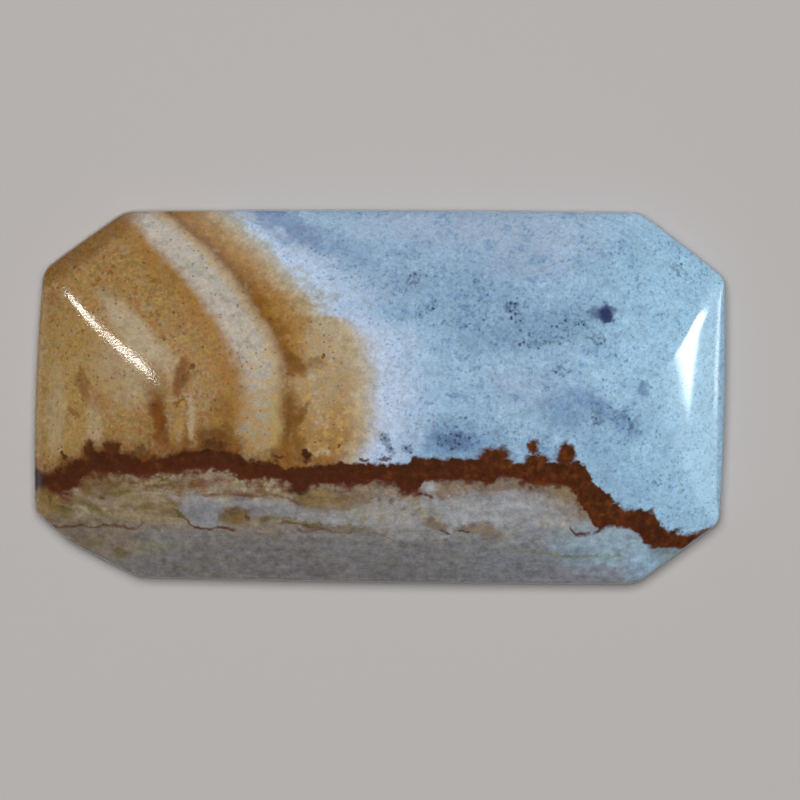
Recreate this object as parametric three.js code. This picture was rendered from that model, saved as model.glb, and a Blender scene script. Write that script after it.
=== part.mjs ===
// A picture jasper cabochon: one polished stone, cut by hand to a long rectangle with its
// corners taken off, the lower left one in two flats. Its back is flat with a narrow bevel,
// its girdle leans in a little on the way up, and its top is one low dome whose long sides,
// ends and cut corners meet in soft ridges.
// Millimetres, +Z up, X along the stone. The origin is the middle of the flat back.
import * as THREE from "three";

// The stone's overall size.
const LENGTH = 41.5;
const WIDTH = 22.5;
const THICKNESS = 5.5;

// The girdle: a bevel on the back edge, then a wall that leans in by its draft.
const BACK_BEVEL = 0.35;
const GIRDLE_TOP = 1.7;
const GIRDLE_DRAFT = 0.24;
const GIRDLE_STEPS = 3;

// The corners of the outline, anticlockwise from the left end of the lower side.
// round is how much of each neighbouring side the corner's rounding takes.
const CORNERS = [
  { x: -14.5, y: -10.85, round: 0.4 },
  { x: 15.4, y: -11.25, round: 0.8 },
  { x: 20.35, y: -7.55, round: 0.7 },
  { x: 20.7, y: 7.15, round: 0.6 },
  { x: 15.6, y: 11.1, round: 0.6 },
  { x: -15.25, y: 11.2, round: 0.7 },
  { x: -20.2, y: 7.65, round: 1.0 },
  { x: -20.7, y: -6.85, round: 0.5 },
  { x: -18.55, y: -8.75, round: 0.5 },
];

// The side that leaves each corner. bulge is how far its middle stands out from a straight
// line, and reach is how far in the dome rises from it before it is level.
const LONG_REACH = WIDTH / 2 - GIRDLE_DRAFT;
const END_REACH = 12.5;
const CUT_REACH = 16.5;
const SIDES = [
  { bulge: 0.1, reach: LONG_REACH },
  { bulge: 0.03, reach: CUT_REACH },
  { bulge: 0.16, reach: END_REACH },
  { bulge: 0.04, reach: CUT_REACH },
  { bulge: 0.1, reach: LONG_REACH },
  { bulge: 0.05, reach: CUT_REACH },
  { bulge: 0.22, reach: END_REACH },
  { bulge: 0.02, reach: CUT_REACH },
  { bulge: 0.02, reach: CUT_REACH },
];

// The dome's profile: how round it is on its way up, how tightly it turns over at the
// girdle, and how wide the ridge between two neighbouring sides is blended.
const DOME_ROUNDNESS = 2.3;
const SHOULDER_TIGHTNESS = 1.15;
const RIDGE_BLEND = 0.1;

// Mesh steps along the stone and across it, and the insets of the rings near its edge.
const STEPS_ALONG = 54;
const STEPS_ACROSS = 22;
const EDGE_RINGS = [0, 0.06, 0.18, 0.4, 0.8];

// The corners that part the outline's two ends from its two long stretches.
const LOWER_LEFT = 7;
const LOWER_RIGHT = 2;
const UPPER_RIGHT = 3;
const UPPER_LEFT = 6;

// The point at share s of a side that bulges as a parabola between its two corners.
function pointOnSide(index, s) {
  const from = CORNERS[index];
  const to = CORNERS[(index + 1) % CORNERS.length];
  const along = new THREE.Vector2(to.x - from.x, to.y - from.y);
  const outwards = new THREE.Vector2(along.y, -along.x).normalize();
  return new THREE.Vector2(from.x, from.y)
    .addScaledVector(along, s)
    .addScaledVector(outwards, 4 * SIDES[index].bulge * s * (1 - s));
}

function sideLength(index) {
  return pointOnSide(index, 0).distanceTo(pointOnSide(index, 1));
}

// The closed outline as a path: a rounding at each corner, then the side that leaves it.
function makeOutline() {
  const path = new THREE.Path();
  CORNERS.forEach((corner, index) => {
    const before = (index + CORNERS.length - 1) % CORNERS.length;
    const next = (index + 1) % CORNERS.length;
    const roundingStart = pointOnSide(before, 1 - corner.round / sideLength(before));
    const startShare = corner.round / sideLength(index);
    const endShare = 1 - CORNERS[next].round / sideLength(index);
    const sideStart = pointOnSide(index, startShare);
    const sideEnd = pointOnSide(index, endShare);
    const sideMiddle = pointOnSide(index, (startShare + endShare) / 2);
    const sideControl = sideMiddle
      .multiplyScalar(2)
      .addScaledVector(sideStart, -0.5)
      .addScaledVector(sideEnd, -0.5);
    if (index === 0) path.moveTo(roundingStart.x, roundingStart.y);
    path.quadraticCurveTo(corner.x, corner.y, sideStart.x, sideStart.y);
    path.quadraticCurveTo(sideControl.x, sideControl.y, sideEnd.x, sideEnd.y);
  });
  return path;
}

// The distance along the outline to the middle of a corner's rounding.
function distanceToCorner(path, corner) {
  const ends = path.getCurveLengths();
  const rounding = 2 * corner;
  const start = rounding === 0 ? 0 : ends[rounding - 1];
  return (start + ends[rounding]) / 2;
}

// Evenly spaced points of the outline from one corner to another, without the last.
function stretchOfOutline(path, fromCorner, toCorner, steps) {
  const whole = path.getLength();
  const start = distanceToCorner(path, fromCorner);
  const length = (distanceToCorner(path, toCorner) - start + whole) % whole;
  return Array.from({ length: steps }, (_, step) =>
    path.getPoint(((start + (length * step) / steps) % whole) / whole),
  );
}

// The whole outline, anticlockwise from its lower left corner, as points whose box is
// centred on the origin and measures LENGTH by WIDTH.
function sampleOutline() {
  const path = makeOutline();
  const points = [
    ...stretchOfOutline(path, LOWER_LEFT, LOWER_RIGHT, STEPS_ALONG),
    ...stretchOfOutline(path, LOWER_RIGHT, UPPER_RIGHT, STEPS_ACROSS),
    ...stretchOfOutline(path, UPPER_RIGHT, UPPER_LEFT, STEPS_ALONG),
    ...stretchOfOutline(path, UPPER_LEFT, LOWER_LEFT, STEPS_ACROSS),
  ];
  const box = new THREE.Box2().setFromPoints(points);
  const centre = box.getCenter(new THREE.Vector2());
  const size = box.getSize(new THREE.Vector2());
  const scale = new THREE.Vector2(LENGTH / size.x, WIDTH / size.y);
  return points.map((point) => point.sub(centre).multiply(scale));
}

// A point of the outline moved in towards the middle by an inset.
function insetPoint(point, inset) {
  return new THREE.Vector2(
    point.x * (1 - (2 * inset) / LENGTH),
    point.y * (1 - (2 * inset) / WIDTH),
  );
}

// How far a point lies inside the dome's edge along one side.
function distanceInside(point, index) {
  const from = insetPoint(pointOnSide(index, 0), GIRDLE_DRAFT);
  const to = insetPoint(pointOnSide(index, 1), GIRDLE_DRAFT);
  const along = to.clone().sub(from);
  const length = along.length();
  along.normalize();
  const offset = point.clone().sub(from);
  const share = THREE.MathUtils.clamp(offset.dot(along) / length, 0, 1);
  const bulge = 4 * SIDES[index].bulge * share * (1 - share);
  return along.x * offset.y - along.y * offset.x + bulge;
}

// The larger of two drops, blended where they are nearly equal, so that ridges are soft.
function blendedDrop(a, b) {
  const blend = RIDGE_BLEND * Math.min(1, a + b);
  const closeness = blend > 0 ? Math.max(0, 1 - Math.abs(a - b) / blend) : 0;
  return Math.max(a, b) + (closeness * closeness * blend) / 4;
}

// The height of the dome over a point. Each side's drop is 1 at the girdle and 0 where the
// dome is level, and the deepest drop shapes the dome there.
function domeHeight(point) {
  const drops = SIDES.map((side, index) => {
    const rise = THREE.MathUtils.clamp(distanceInside(point, index) / side.reach, 0, 1);
    return (1 - rise) ** DOME_ROUNDNESS;
  });
  const drop = Math.min(1, drops.reduce(blendedDrop, 0));
  return GIRDLE_TOP + (THICKNESS - GIRDLE_TOP) * (1 - drop) ** (1 / SHOULDER_TIGHTNESS);
}

// The rings of the mesh, from the back's edge up the girdle and on to the dome.
function makeRings(outline) {
  const rings = [
    outline.map((point) => {
      const moved = insetPoint(point, BACK_BEVEL);
      return new THREE.Vector3(moved.x, moved.y, 0);
    }),
  ];
  for (let step = 0; step < GIRDLE_STEPS; step += 1) {
    const share = step / GIRDLE_STEPS;
    rings.push(
      outline.map((point) => {
        const moved = insetPoint(point, GIRDLE_DRAFT * share);
        const top = domeHeight(insetPoint(point, GIRDLE_DRAFT));
        return new THREE.Vector3(
          moved.x,
          moved.y,
          THREE.MathUtils.lerp(BACK_BEVEL, top, share),
        );
      }),
    );
  }
  EDGE_RINGS.forEach((inset) => {
    rings.push(
      outline.map((point) => {
        const moved = insetPoint(point, GIRDLE_DRAFT + inset);
        return new THREE.Vector3(moved.x, moved.y, domeHeight(moved));
      }),
    );
  });
  return rings;
}

// The number, in the ring, of the point at the edge of the patch that fills it, or -1 for
// a point inside the patch.
function ringIndex(i, j) {
  const around = 2 * (STEPS_ALONG + STEPS_ACROSS);
  if (j === 0) return i;
  if (i === STEPS_ALONG) return STEPS_ALONG + j;
  if (j === STEPS_ACROSS) return 2 * STEPS_ALONG + STEPS_ACROSS - i;
  if (i === 0) return around - j;
  return -1;
}

// A point of the patch that fills a ring, worked out from its four stretches (a Coons patch).
function patchPoint(ring, i, j) {
  const u = i / STEPS_ALONG;
  const v = j / STEPS_ACROSS;
  const at = (a, b) => ring[ringIndex(a, b)];
  const point = new THREE.Vector3()
    .addScaledVector(at(i, 0), 1 - v)
    .addScaledVector(at(i, STEPS_ACROSS), v)
    .addScaledVector(at(0, j), 1 - u)
    .addScaledVector(at(STEPS_ALONG, j), u)
    .addScaledVector(at(0, 0), -(1 - u) * (1 - v))
    .addScaledVector(at(STEPS_ALONG, 0), -u * (1 - v))
    .addScaledVector(at(0, STEPS_ACROSS), -(1 - u) * v)
    .addScaledVector(at(STEPS_ALONG, STEPS_ACROSS), -u * v);
  point.z = domeHeight(new THREE.Vector2(point.x, point.y));
  return point;
}

// The whole closed surface: the flat back, the rings of the girdle and the dome's patch.
function makeStoneGeometry() {
  const outline = sampleOutline();
  const rings = makeRings(outline);
  const around = outline.length;
  const vertices = rings.flat();
  const triangles = [];
  const addQuad = (a, b, c, d) => triangles.push(a, b, c, a, c, d);

  THREE.ShapeUtils.triangulateShape(rings[0], []).forEach(([a, b, c]) => {
    triangles.push(a, c, b);
  });
  for (let level = 0; level + 1 < rings.length; level += 1) {
    for (let i = 0; i < around; i += 1) {
      const next = (i + 1) % around;
      const lower = level * around;
      const upper = lower + around;
      addQuad(lower + i, lower + next, upper + next, upper + i);
    }
  }

  const topRing = rings[rings.length - 1];
  const topStart = vertices.length - around;
  const patch = [];
  for (let i = 0; i <= STEPS_ALONG; i += 1) {
    patch.push([]);
    for (let j = 0; j <= STEPS_ACROSS; j += 1) {
      const onRing = ringIndex(i, j);
      patch[i].push(onRing >= 0 ? topStart + onRing : vertices.length);
      if (onRing < 0) vertices.push(patchPoint(topRing, i, j));
    }
  }
  for (let i = 0; i < STEPS_ALONG; i += 1) {
    for (let j = 0; j < STEPS_ACROSS; j += 1) {
      addQuad(patch[i][j], patch[i + 1][j], patch[i + 1][j + 1], patch[i][j + 1]);
    }
  }

  const geometry = new THREE.BufferGeometry().setFromPoints(vertices);
  geometry.setIndex(triangles);
  geometry.computeVertexNormals();
  return geometry;
}

// Polished jasper, pale blue-grey over most of its face.
const jasper = new THREE.MeshStandardMaterial({
  color: new THREE.Color(0.56, 0.64, 0.7),
  roughness: 0.12,
  metalness: 0,
});

const stone = new THREE.Mesh(makeStoneGeometry(), jasper);
stone.name = "stone";

const cabochon = new THREE.Group();
cabochon.add(stone);

export default cabochon;
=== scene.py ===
"""A picture jasper cabochon, lying on its flat back on a pale surface.

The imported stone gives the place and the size. This script makes a smooth polished surface of
the same form over it, gives it the jasper's picture as a procedural finish that runs through
the whole stone, and sets up a pale floor, soft light and a camera that looks straight down.
Lengths are millimetres until a mesh, a light or the camera is made, which use metres.
"""

from __future__ import annotations

import logging
import math
from dataclasses import dataclass
from enum import Enum
from typing import Sequence

import bpy
import numpy as np
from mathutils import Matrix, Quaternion, Vector, noise


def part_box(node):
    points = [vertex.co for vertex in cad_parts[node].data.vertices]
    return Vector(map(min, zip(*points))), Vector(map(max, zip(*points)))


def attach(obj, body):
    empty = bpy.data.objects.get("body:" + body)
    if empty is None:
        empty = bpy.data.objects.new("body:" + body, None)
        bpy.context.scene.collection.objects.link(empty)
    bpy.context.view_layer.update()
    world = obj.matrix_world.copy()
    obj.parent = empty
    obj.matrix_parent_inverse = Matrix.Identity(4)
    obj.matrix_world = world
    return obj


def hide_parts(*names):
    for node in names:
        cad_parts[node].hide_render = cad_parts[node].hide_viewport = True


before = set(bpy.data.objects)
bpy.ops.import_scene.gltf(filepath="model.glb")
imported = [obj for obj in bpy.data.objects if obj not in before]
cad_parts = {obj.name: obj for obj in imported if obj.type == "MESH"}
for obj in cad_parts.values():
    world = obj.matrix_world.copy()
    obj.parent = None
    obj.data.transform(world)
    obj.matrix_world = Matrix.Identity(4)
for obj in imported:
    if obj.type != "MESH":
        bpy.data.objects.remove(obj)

log = logging.getLogger("cabochon")

MM = 0.001
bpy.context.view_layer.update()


# The stone's form


@dataclass(frozen=True)
class Corner:
    """A corner of the outline, and how much of each neighbouring side its rounding takes."""

    x: float
    y: float
    rounding: float

    @property
    def place(self) -> np.ndarray:
        """The corner as a point."""
        return np.array((self.x, self.y))


@dataclass(frozen=True)
class Side:
    """The side that leaves a corner.

    The bulge is how far its middle stands out, the reach is how far in the dome rises from
    it, and the crown is how much shorter that reach is at the side's middle.
    """

    bulge: float
    reach: float
    crown: float = 0.0


@dataclass(frozen=True)
class Outline:
    """The outline cut by hand, as seen from above: a long rectangle without its corners."""

    length: float
    width: float
    draft: float = 0.12
    long_reach: float = 11.01
    end_reach: float = 12.5
    cut_reach: float = 16.5
    end_crown: float = 0.2
    corners: tuple[Corner, ...] = (
        Corner(-14.5, -10.85, 0.4),
        Corner(15.4, -11.25, 0.7),
        Corner(20.35, -7.55, 0.4),
        Corner(20.7, 7.15, 0.45),
        Corner(15.6, 11.1, 0.45),
        Corner(-15.25, 11.2, 0.6),
        Corner(-20.2, 7.65, 0.65),
        Corner(-20.7, -6.85, 0.45),
        Corner(-18.55, -8.75, 0.5),
    )
    end_corners: tuple[int, int, int, int] = (7, 2, 3, 6)

    @property
    def sides(self) -> tuple[Side, ...]:
        """The side that leaves each corner.

        Returns:
            The sides, in the corners' order.
        """
        return (
            Side(0.10, self.long_reach),
            Side(0.03, self.cut_reach),
            Side(0.16, self.end_reach, self.end_crown),
            Side(0.04, self.cut_reach),
            Side(0.10, self.long_reach),
            Side(0.05, self.cut_reach),
            Side(0.22, self.end_reach),
            Side(0.02, self.cut_reach),
            Side(0.02, self.cut_reach),
        )

    def ends_of_side(self, index: int) -> tuple[np.ndarray, np.ndarray]:
        """The places of the two corners that a side joins."""
        return self.corners[index].place, self.corners[(index + 1) % len(self.corners)].place

    def point_on_side(self, index: int, share: float) -> np.ndarray:
        """Finds a point on a side, which bulges as a parabola.

        Args:
            index: The side's number.
            share: How far along it the point lies, from 0 to 1.

        Returns:
            The point.
        """
        start, end = self.ends_of_side(index)
        along = end - start
        outwards = np.array((along[1], -along[0])) / np.hypot(*along)
        rise = 4 * self.sides[index].bulge * share * (1 - share)
        return start + along * share + outwards * rise

    def path(self, steps: int = 48) -> tuple[np.ndarray, list[int]]:
        """Draws the outline finely, a rounding and then a side for each corner.

        Args:
            steps: How many points each rounding and each side has.

        Returns:
            The points, and the index of the middle of each corner's rounding.
        """
        pieces = []
        middles = []
        for index, corner in enumerate(self.corners):
            before = (index - 1) % len(self.corners)
            following = (index + 1) % len(self.corners)
            start, end = self.ends_of_side(index)
            first = corner.rounding / np.hypot(*(end - start))
            last = 1 - self.corners[following].rounding / np.hypot(*(end - start))
            start, end = self.ends_of_side(before)
            arrive = self.point_on_side(before, 1 - corner.rounding / np.hypot(*(end - start)))
            leave = self.point_on_side(index, first)
            finish = self.point_on_side(index, last)
            middle = self.point_on_side(index, (first + last) / 2)
            middles.append(len(pieces) * steps + steps // 2)
            pieces.append(bend(arrive, corner.place, leave, steps))
            pieces.append(bend(leave, 2 * middle - (leave + finish) / 2, finish, steps))
        return np.concatenate(pieces), middles

    def ring(self, along: int, across: int) -> np.ndarray:
        """Spaces points evenly round the outline, centred on its box and at its full size.

        Args:
            along: How many steps each long stretch has.
            across: How many steps each end has.

        Returns:
            The points, anticlockwise from the lower left end.
        """
        points, middles = self.path()
        closed = np.vstack((points, points[:1]))
        gaps = np.hypot(*np.diff(closed, axis=0).T)
        run = np.concatenate(((0.0,), np.cumsum(gaps)))
        stops = [run[middles[corner]] for corner in self.end_corners]
        stretches = []
        for number, steps in enumerate((along, across, along, across)):
            start = stops[number]
            length = (stops[(number + 1) % len(stops)] - start) % run[-1]
            at = (start + length * np.arange(steps) / steps) % run[-1]
            stretches.append(np.column_stack([np.interp(at, run, axis) for axis in closed.T]))
        ring = np.concatenate(stretches)
        low, high = ring.min(0), ring.max(0)
        return (ring - (low + high) / 2) * (self.length, self.width) / (high - low)

    def inset(self, points: np.ndarray, amount: float) -> np.ndarray:
        """Moves points in towards the middle, in proportion to the stone's sides."""
        return points * (1 - 2 * amount / self.length, 1 - 2 * amount / self.width)


def bend(start: np.ndarray, control: np.ndarray, end: np.ndarray, steps: int) -> np.ndarray:
    """Draws one quadratic curve.

    Args:
        start: Its first point.
        control: The point that it bends towards.
        end: Its last point.
        steps: How many points to give, the last point left out.

    Returns:
        The points.
    """
    t = (np.arange(steps) / steps)[:, None]
    return (1 - t) ** 2 * start + 2 * t * (1 - t) * control + t**2 * end


@dataclass(frozen=True)
class Dome:
    """The low dome, whose sides, ends and cut corners meet in soft ridges."""

    outline: Outline
    thickness: float
    girdle_top: float = 1.7
    roundness: float = 2.3
    shoulder_tightness: float = 1.15
    ridge_blend: float = 0.1
    least_blend: float = 1e-9
    wave: float = 0.012
    wave_length: float = 5.0

    def rise_from(self, points: np.ndarray, index: int) -> np.ndarray:
        """Works out how far points lie in from one side.

        Args:
            points: Places seen from above, a row each.
            index: The side's number.

        Returns:
            How far in each is, as a share of the side's reach.
        """
        outline = self.outline
        side = outline.sides[index]
        start, end = outline.ends_of_side(index)
        start = outline.inset(start, outline.draft)
        end = outline.inset(end, outline.draft)
        length = np.hypot(*(end - start))
        along = (end - start) / length
        offset = points - start
        share = np.clip(offset @ along / length, 0, 1)
        middle = 4 * share * (1 - share)
        inwards = along[0] * offset[:, 1] - along[1] * offset[:, 0] + side.bulge * middle
        return np.clip(inwards * (1 + side.crown * middle) / side.reach, 0, 1)

    def height(self, points: np.ndarray) -> np.ndarray:
        """Works out the dome's height.

        Args:
            points: Places seen from above, a row each.

        Returns:
            The height over each place.
        """
        drop = np.zeros(len(points))
        for index in range(len(self.outline.sides)):
            other = (1 - self.rise_from(points, index)) ** self.roundness
            blend = self.ridge_blend * np.minimum(1, drop + other) + self.least_blend
            closeness = np.maximum(0, 1 - np.abs(drop - other) / blend)
            drop = np.maximum(drop, other) + closeness**2 * blend / 4
        share = (1 - np.minimum(drop, 1)) ** (1 / self.shoulder_tightness)
        return self.girdle_top + (self.thickness - self.girdle_top) * share - self.waves(points)

    def waves(self, points: np.ndarray) -> np.ndarray:
        """The slight waves that grinding by hand leaves, always cut into the dome."""
        places = [Vector((x, y, 0)) / self.wave_length for x, y in points]
        return np.array([self.wave * (0.5 + 0.5 * noise.noise(place)) for place in places])


class Stretch(Enum):
    """The stretches of the surface, each with its own place on the map for baking."""

    DOME = 0
    GIRDLE = 1
    BACK = 2


class Skin:
    """Gathers the points and the four-sided faces of a surface."""

    def __init__(self) -> None:
        """Starts with nothing."""
        self.points: list[np.ndarray] = []
        self.faces: list[np.ndarray] = []
        self.stretches: list[np.ndarray] = []
        self.count = 0

    def add_points(self, points: np.ndarray, height: float | np.ndarray) -> int:
        """Adds points.

        Args:
            points: Places seen from above.
            height: The height of all of them, or of each.

        Returns:
            The number of the first one.
        """
        first = self.count
        self.points.append(np.column_stack((points, np.broadcast_to(height, len(points)))))
        self.count += len(points)
        return first

    def add_faces(self, numbers: np.ndarray, stretch: Stretch) -> None:
        """Adds faces, each a row of four point numbers."""
        self.faces.append(numbers)
        self.stretches.append(np.full(len(numbers), stretch.value))

    def add_grid(self, grid: np.ndarray, stretch: Stretch) -> None:
        """Adds the faces between the rows and columns of a grid of point numbers."""
        four = np.stack((grid[:-1, :-1], grid[1:, :-1], grid[1:, 1:], grid[:-1, 1:]), axis=-1)
        self.add_faces(four.reshape(-1, 4), stretch)

    def mesh(self, name: str) -> bpy.types.Mesh:
        """Makes a smooth mesh of all that was added.

        Args:
            name: The mesh's name.

        Returns:
            The mesh, in metres.
        """
        mesh = bpy.data.meshes.new(name)
        faces = np.concatenate(self.faces).tolist()
        mesh.from_pydata((np.concatenate(self.points) * MM).tolist(), [], faces)
        mesh.polygons.foreach_set("use_smooth", [True] * len(faces))
        return mesh


@dataclass(frozen=True)
class BakeSheet:
    """Where each stretch of the surface lies on the square map that finishes are baked to."""

    length: float
    width: float
    margin: float = 0.015
    back_scale: float = 0.64
    strip_height: float = 0.04
    strip_gap: float = 0.012
    girdle_height: float = 2.0

    @property
    def per_mm(self) -> float:
        """The scale of the dome on the map."""
        return (1 - 2 * self.margin) / self.length

    def dome(self, points: np.ndarray, _: np.ndarray) -> np.ndarray:
        """Places points of the dome, along the map's upper edge.

        Args:
            points: The four corners of each face.

        Returns:
            Their places on the map.
        """
        u = 0.5 + points[..., 0] * self.per_mm
        v = 1 - self.margin + (points[..., 1] - self.width / 2) * self.per_mm
        return np.stack((u, v), axis=-1)

    def back(self, points: np.ndarray, _: np.ndarray) -> np.ndarray:
        """Places points of the back, in the map's lower left corner, seen from below.

        Args:
            points: The four corners of each face.

        Returns:
            Their places on the map.
        """
        scale = self.per_mm * self.back_scale
        u = self.margin + (self.length / 2 - points[..., 0]) * scale
        v = self.margin + (points[..., 1] + self.width / 2) * scale
        return np.stack((u, v), axis=-1)

    def girdle(self, points: np.ndarray, step: np.ndarray) -> np.ndarray:
        """Places the girdle's faces in two strips below the dome, half the way round in each.

        Args:
            points: The four corners of each face.
            step: How far round each corner is, as a share of the whole way.

        Returns:
            Their places on the map.
        """
        strip = np.floor(step[:, :1] * 2)
        share = (step * 2 - strip) % 2
        u = self.margin + share * (1 - 2 * self.margin)
        top = 1 - 2 * self.margin - self.width * self.per_mm - self.strip_gap
        top = top - strip * (self.strip_height + self.strip_gap)
        v = top - self.strip_height * (1 - points[..., 2] / self.girdle_height)
        return np.stack((u, v), axis=-1)


@dataclass(frozen=True)
class Cabochon:
    """The stone itself: its flat back, bevel, girdle and dome, as one fine closed surface."""

    outline: Outline
    dome: Dome
    bevel: float = 0.35
    bevel_steps: int = 4
    wall_steps: int = 4
    roll: float = 0.1
    roll_steps: int = 4
    edge_rings: tuple[float, ...] = (0.08, 0.18, 0.3, 0.45, 0.65, 0.9)
    along: int = 168
    across: int = 84

    def rings(self, ring: np.ndarray) -> list[np.ndarray]:
        """Draws the rings of the surface from the back's edge up to the dome.

        Args:
            ring: The outline's points.

        Returns:
            Each ring's points, with their heights.
        """
        draft = self.outline.draft
        shoulder = self.dome.height(self.outline.inset(ring, draft))
        wall = shoulder - self.bevel
        wall_end = 1 - self.roll / (self.dome.girdle_top - self.bevel)
        rings = []
        for step in range(self.bevel_steps + 1):
            turn = math.pi / 2 * step / self.bevel_steps
            inset = self.bevel * (1 - math.sin(turn))
            rings.append(self.lifted(ring, inset, self.bevel * (1 - math.cos(turn))))
        for step in range(1, self.wall_steps):
            share = wall_end * step / self.wall_steps
            rings.append(self.lifted(ring, draft * share, self.bevel + wall * share))
        start = self.lifted(ring, draft * wall_end, self.bevel + wall * wall_end)
        control = self.lifted(ring, draft, shoulder)
        end = self.on_dome(ring, draft + self.roll)
        for t in np.linspace(0, 1, self.roll_steps + 1):
            rings.append((1 - t) ** 2 * start + 2 * t * (1 - t) * control + t**2 * end)
        rings += [self.on_dome(ring, draft + self.roll + inset) for inset in self.edge_rings]
        return rings

    def lifted(self, ring: np.ndarray, inset: float, height: float | np.ndarray) -> np.ndarray:
        """The ring moved in by an inset, at a height."""
        points = self.outline.inset(ring, inset)
        return np.column_stack((points, np.broadcast_to(height, len(points))))

    def on_dome(self, ring: np.ndarray, inset: float) -> np.ndarray:
        """The ring moved in by an inset, on the dome."""
        return self.lifted(ring, inset, self.dome.height(self.outline.inset(ring, inset)))

    def edge_numbers(self) -> np.ndarray:
        """Numbers the points on the edge of the grid that fills a ring.

        Returns:
            The number in the ring of each of the grid's points, and -1 inside the edge.
        """
        along, across = self.along, self.across
        numbers = np.full((along + 1, across + 1), -1)
        numbers[0, :] = 2 * (along + across) - np.arange(across + 1)
        numbers[:, across] = 2 * along + across - np.arange(along + 1)
        numbers[along, :] = along + np.arange(across + 1)
        numbers[:, 0] = np.arange(along + 1)
        return numbers

    def inner_points(self, ring: np.ndarray) -> np.ndarray:
        """Fills a ring with a grid of points that follows its four stretches.

        Args:
            ring: The ring, as seen from above.

        Returns:
            The grid's points, the edge's too, first along the stone and then across it.
        """
        along, across = self.along, self.across
        low = ring[: along + 1]
        right = ring[along : along + across + 1]
        high = ring[along + across : 2 * along + across + 1][::-1]
        left = np.vstack((ring[2 * along + across :], ring[:1]))[::-1]
        u = (np.arange(along + 1) / along)[:, None, None]
        v = (np.arange(across + 1) / across)[None, :, None]
        sides = (1 - v) * low[:, None] + v * high[:, None] + (1 - u) * left[None] + u * right[None]
        corners = (1 - v) * ((1 - u) * low[0] + u * low[-1]) + v * ((1 - u) * high[0] + u * high[-1])
        return sides - corners

    def fill(self, skin: Skin, ring: np.ndarray, first: int, height: Dome | float) -> np.ndarray:
        """Adds the points that fill a ring.

        Args:
            skin: The surface to add them to.
            ring: The ring, as seen from above.
            first: The number of the ring's first point.
            height: Their height, or the dome that they lie on.

        Returns:
            The numbers of the whole grid's points.
        """
        edge = self.edge_numbers()
        inside = edge < 0
        points = self.inner_points(ring)[inside]
        level = height.height(points) if isinstance(height, Dome) else height
        start = skin.add_points(points, level)
        numbers = first + edge
        numbers[inside] = start + np.arange(len(points))
        return numbers

    def build(self) -> bpy.types.Object:
        """Makes the stone's surface.

        Returns:
            Its object.
        """
        ring = self.outline.ring(self.along, self.across)
        rings = self.rings(ring)
        around = len(ring)
        skin = Skin()
        for points in rings:
            skin.add_points(points[:, :2], points[:, 2])
        first_dome_ring = self.bevel_steps + self.wall_steps
        for level in range(len(rings) - 1):
            lower = level * around + np.arange(around)
            band = (lower, np.roll(lower, -1), np.roll(lower, -1) + around, lower + around)
            stretch = Stretch.DOME if level >= first_dome_ring else Stretch.GIRDLE
            skin.add_faces(np.column_stack(band), stretch)
        back = self.fill(skin, rings[0][:, :2], 0, 0.0)
        skin.add_grid(back[:, ::-1], Stretch.BACK)
        top = self.fill(skin, rings[-1][:, :2], (len(rings) - 1) * around, self.dome)
        skin.add_grid(top, Stretch.DOME)
        mesh = skin.mesh("jasper_cabochon")
        self.lay_out(mesh, skin, around)
        stone = bpy.data.objects.new("jasper_cabochon", mesh)
        bpy.context.collection.objects.link(stone)
        return stone

    def lay_out(self, mesh: bpy.types.Mesh, skin: Skin, around: int) -> None:
        """Gives the mesh its map for baking, with most of it for the dome.

        Args:
            mesh: The stone's mesh.
            skin: The surface that it was made from.
            around: How many points a ring has.
        """
        sheet = BakeSheet(self.outline.length, self.outline.width)
        placing = {
            Stretch.DOME: sheet.dome,
            Stretch.GIRDLE: sheet.girdle,
            Stretch.BACK: sheet.back,
        }
        faces = np.concatenate(skin.faces)
        points = np.concatenate(skin.points)[faces]
        stretches = np.concatenate(skin.stretches)
        places = np.empty((len(faces), 4, 2))
        for stretch, place in placing.items():
            here = stretches == stretch.value
            places[here] = place(points[here], faces[here] % around / around)
        layer = mesh.uv_layers.new(name="OFBake")
        layer.data.foreach_set("uv", places.ravel())


# The shader's arithmetic


Colour = tuple[float, float, float, float]


def linear(colour: tuple[int, int, int]) -> Colour:
    """Turns a colour as it is seen into the light that it holds, by the usual screen curve.

    Args:
        colour: The colour, from 0 to 255 a channel.

    Returns:
        The light, from 0 to 1 a channel, and opaque.
    """
    shares = (channel / 255 for channel in colour)
    red, green, blue = (
        share / 12.92 if share <= 0.04045 else ((share + 0.055) / 1.055) ** 2.4
        for share in shares
    )
    return red, green, blue, 1.0


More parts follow.
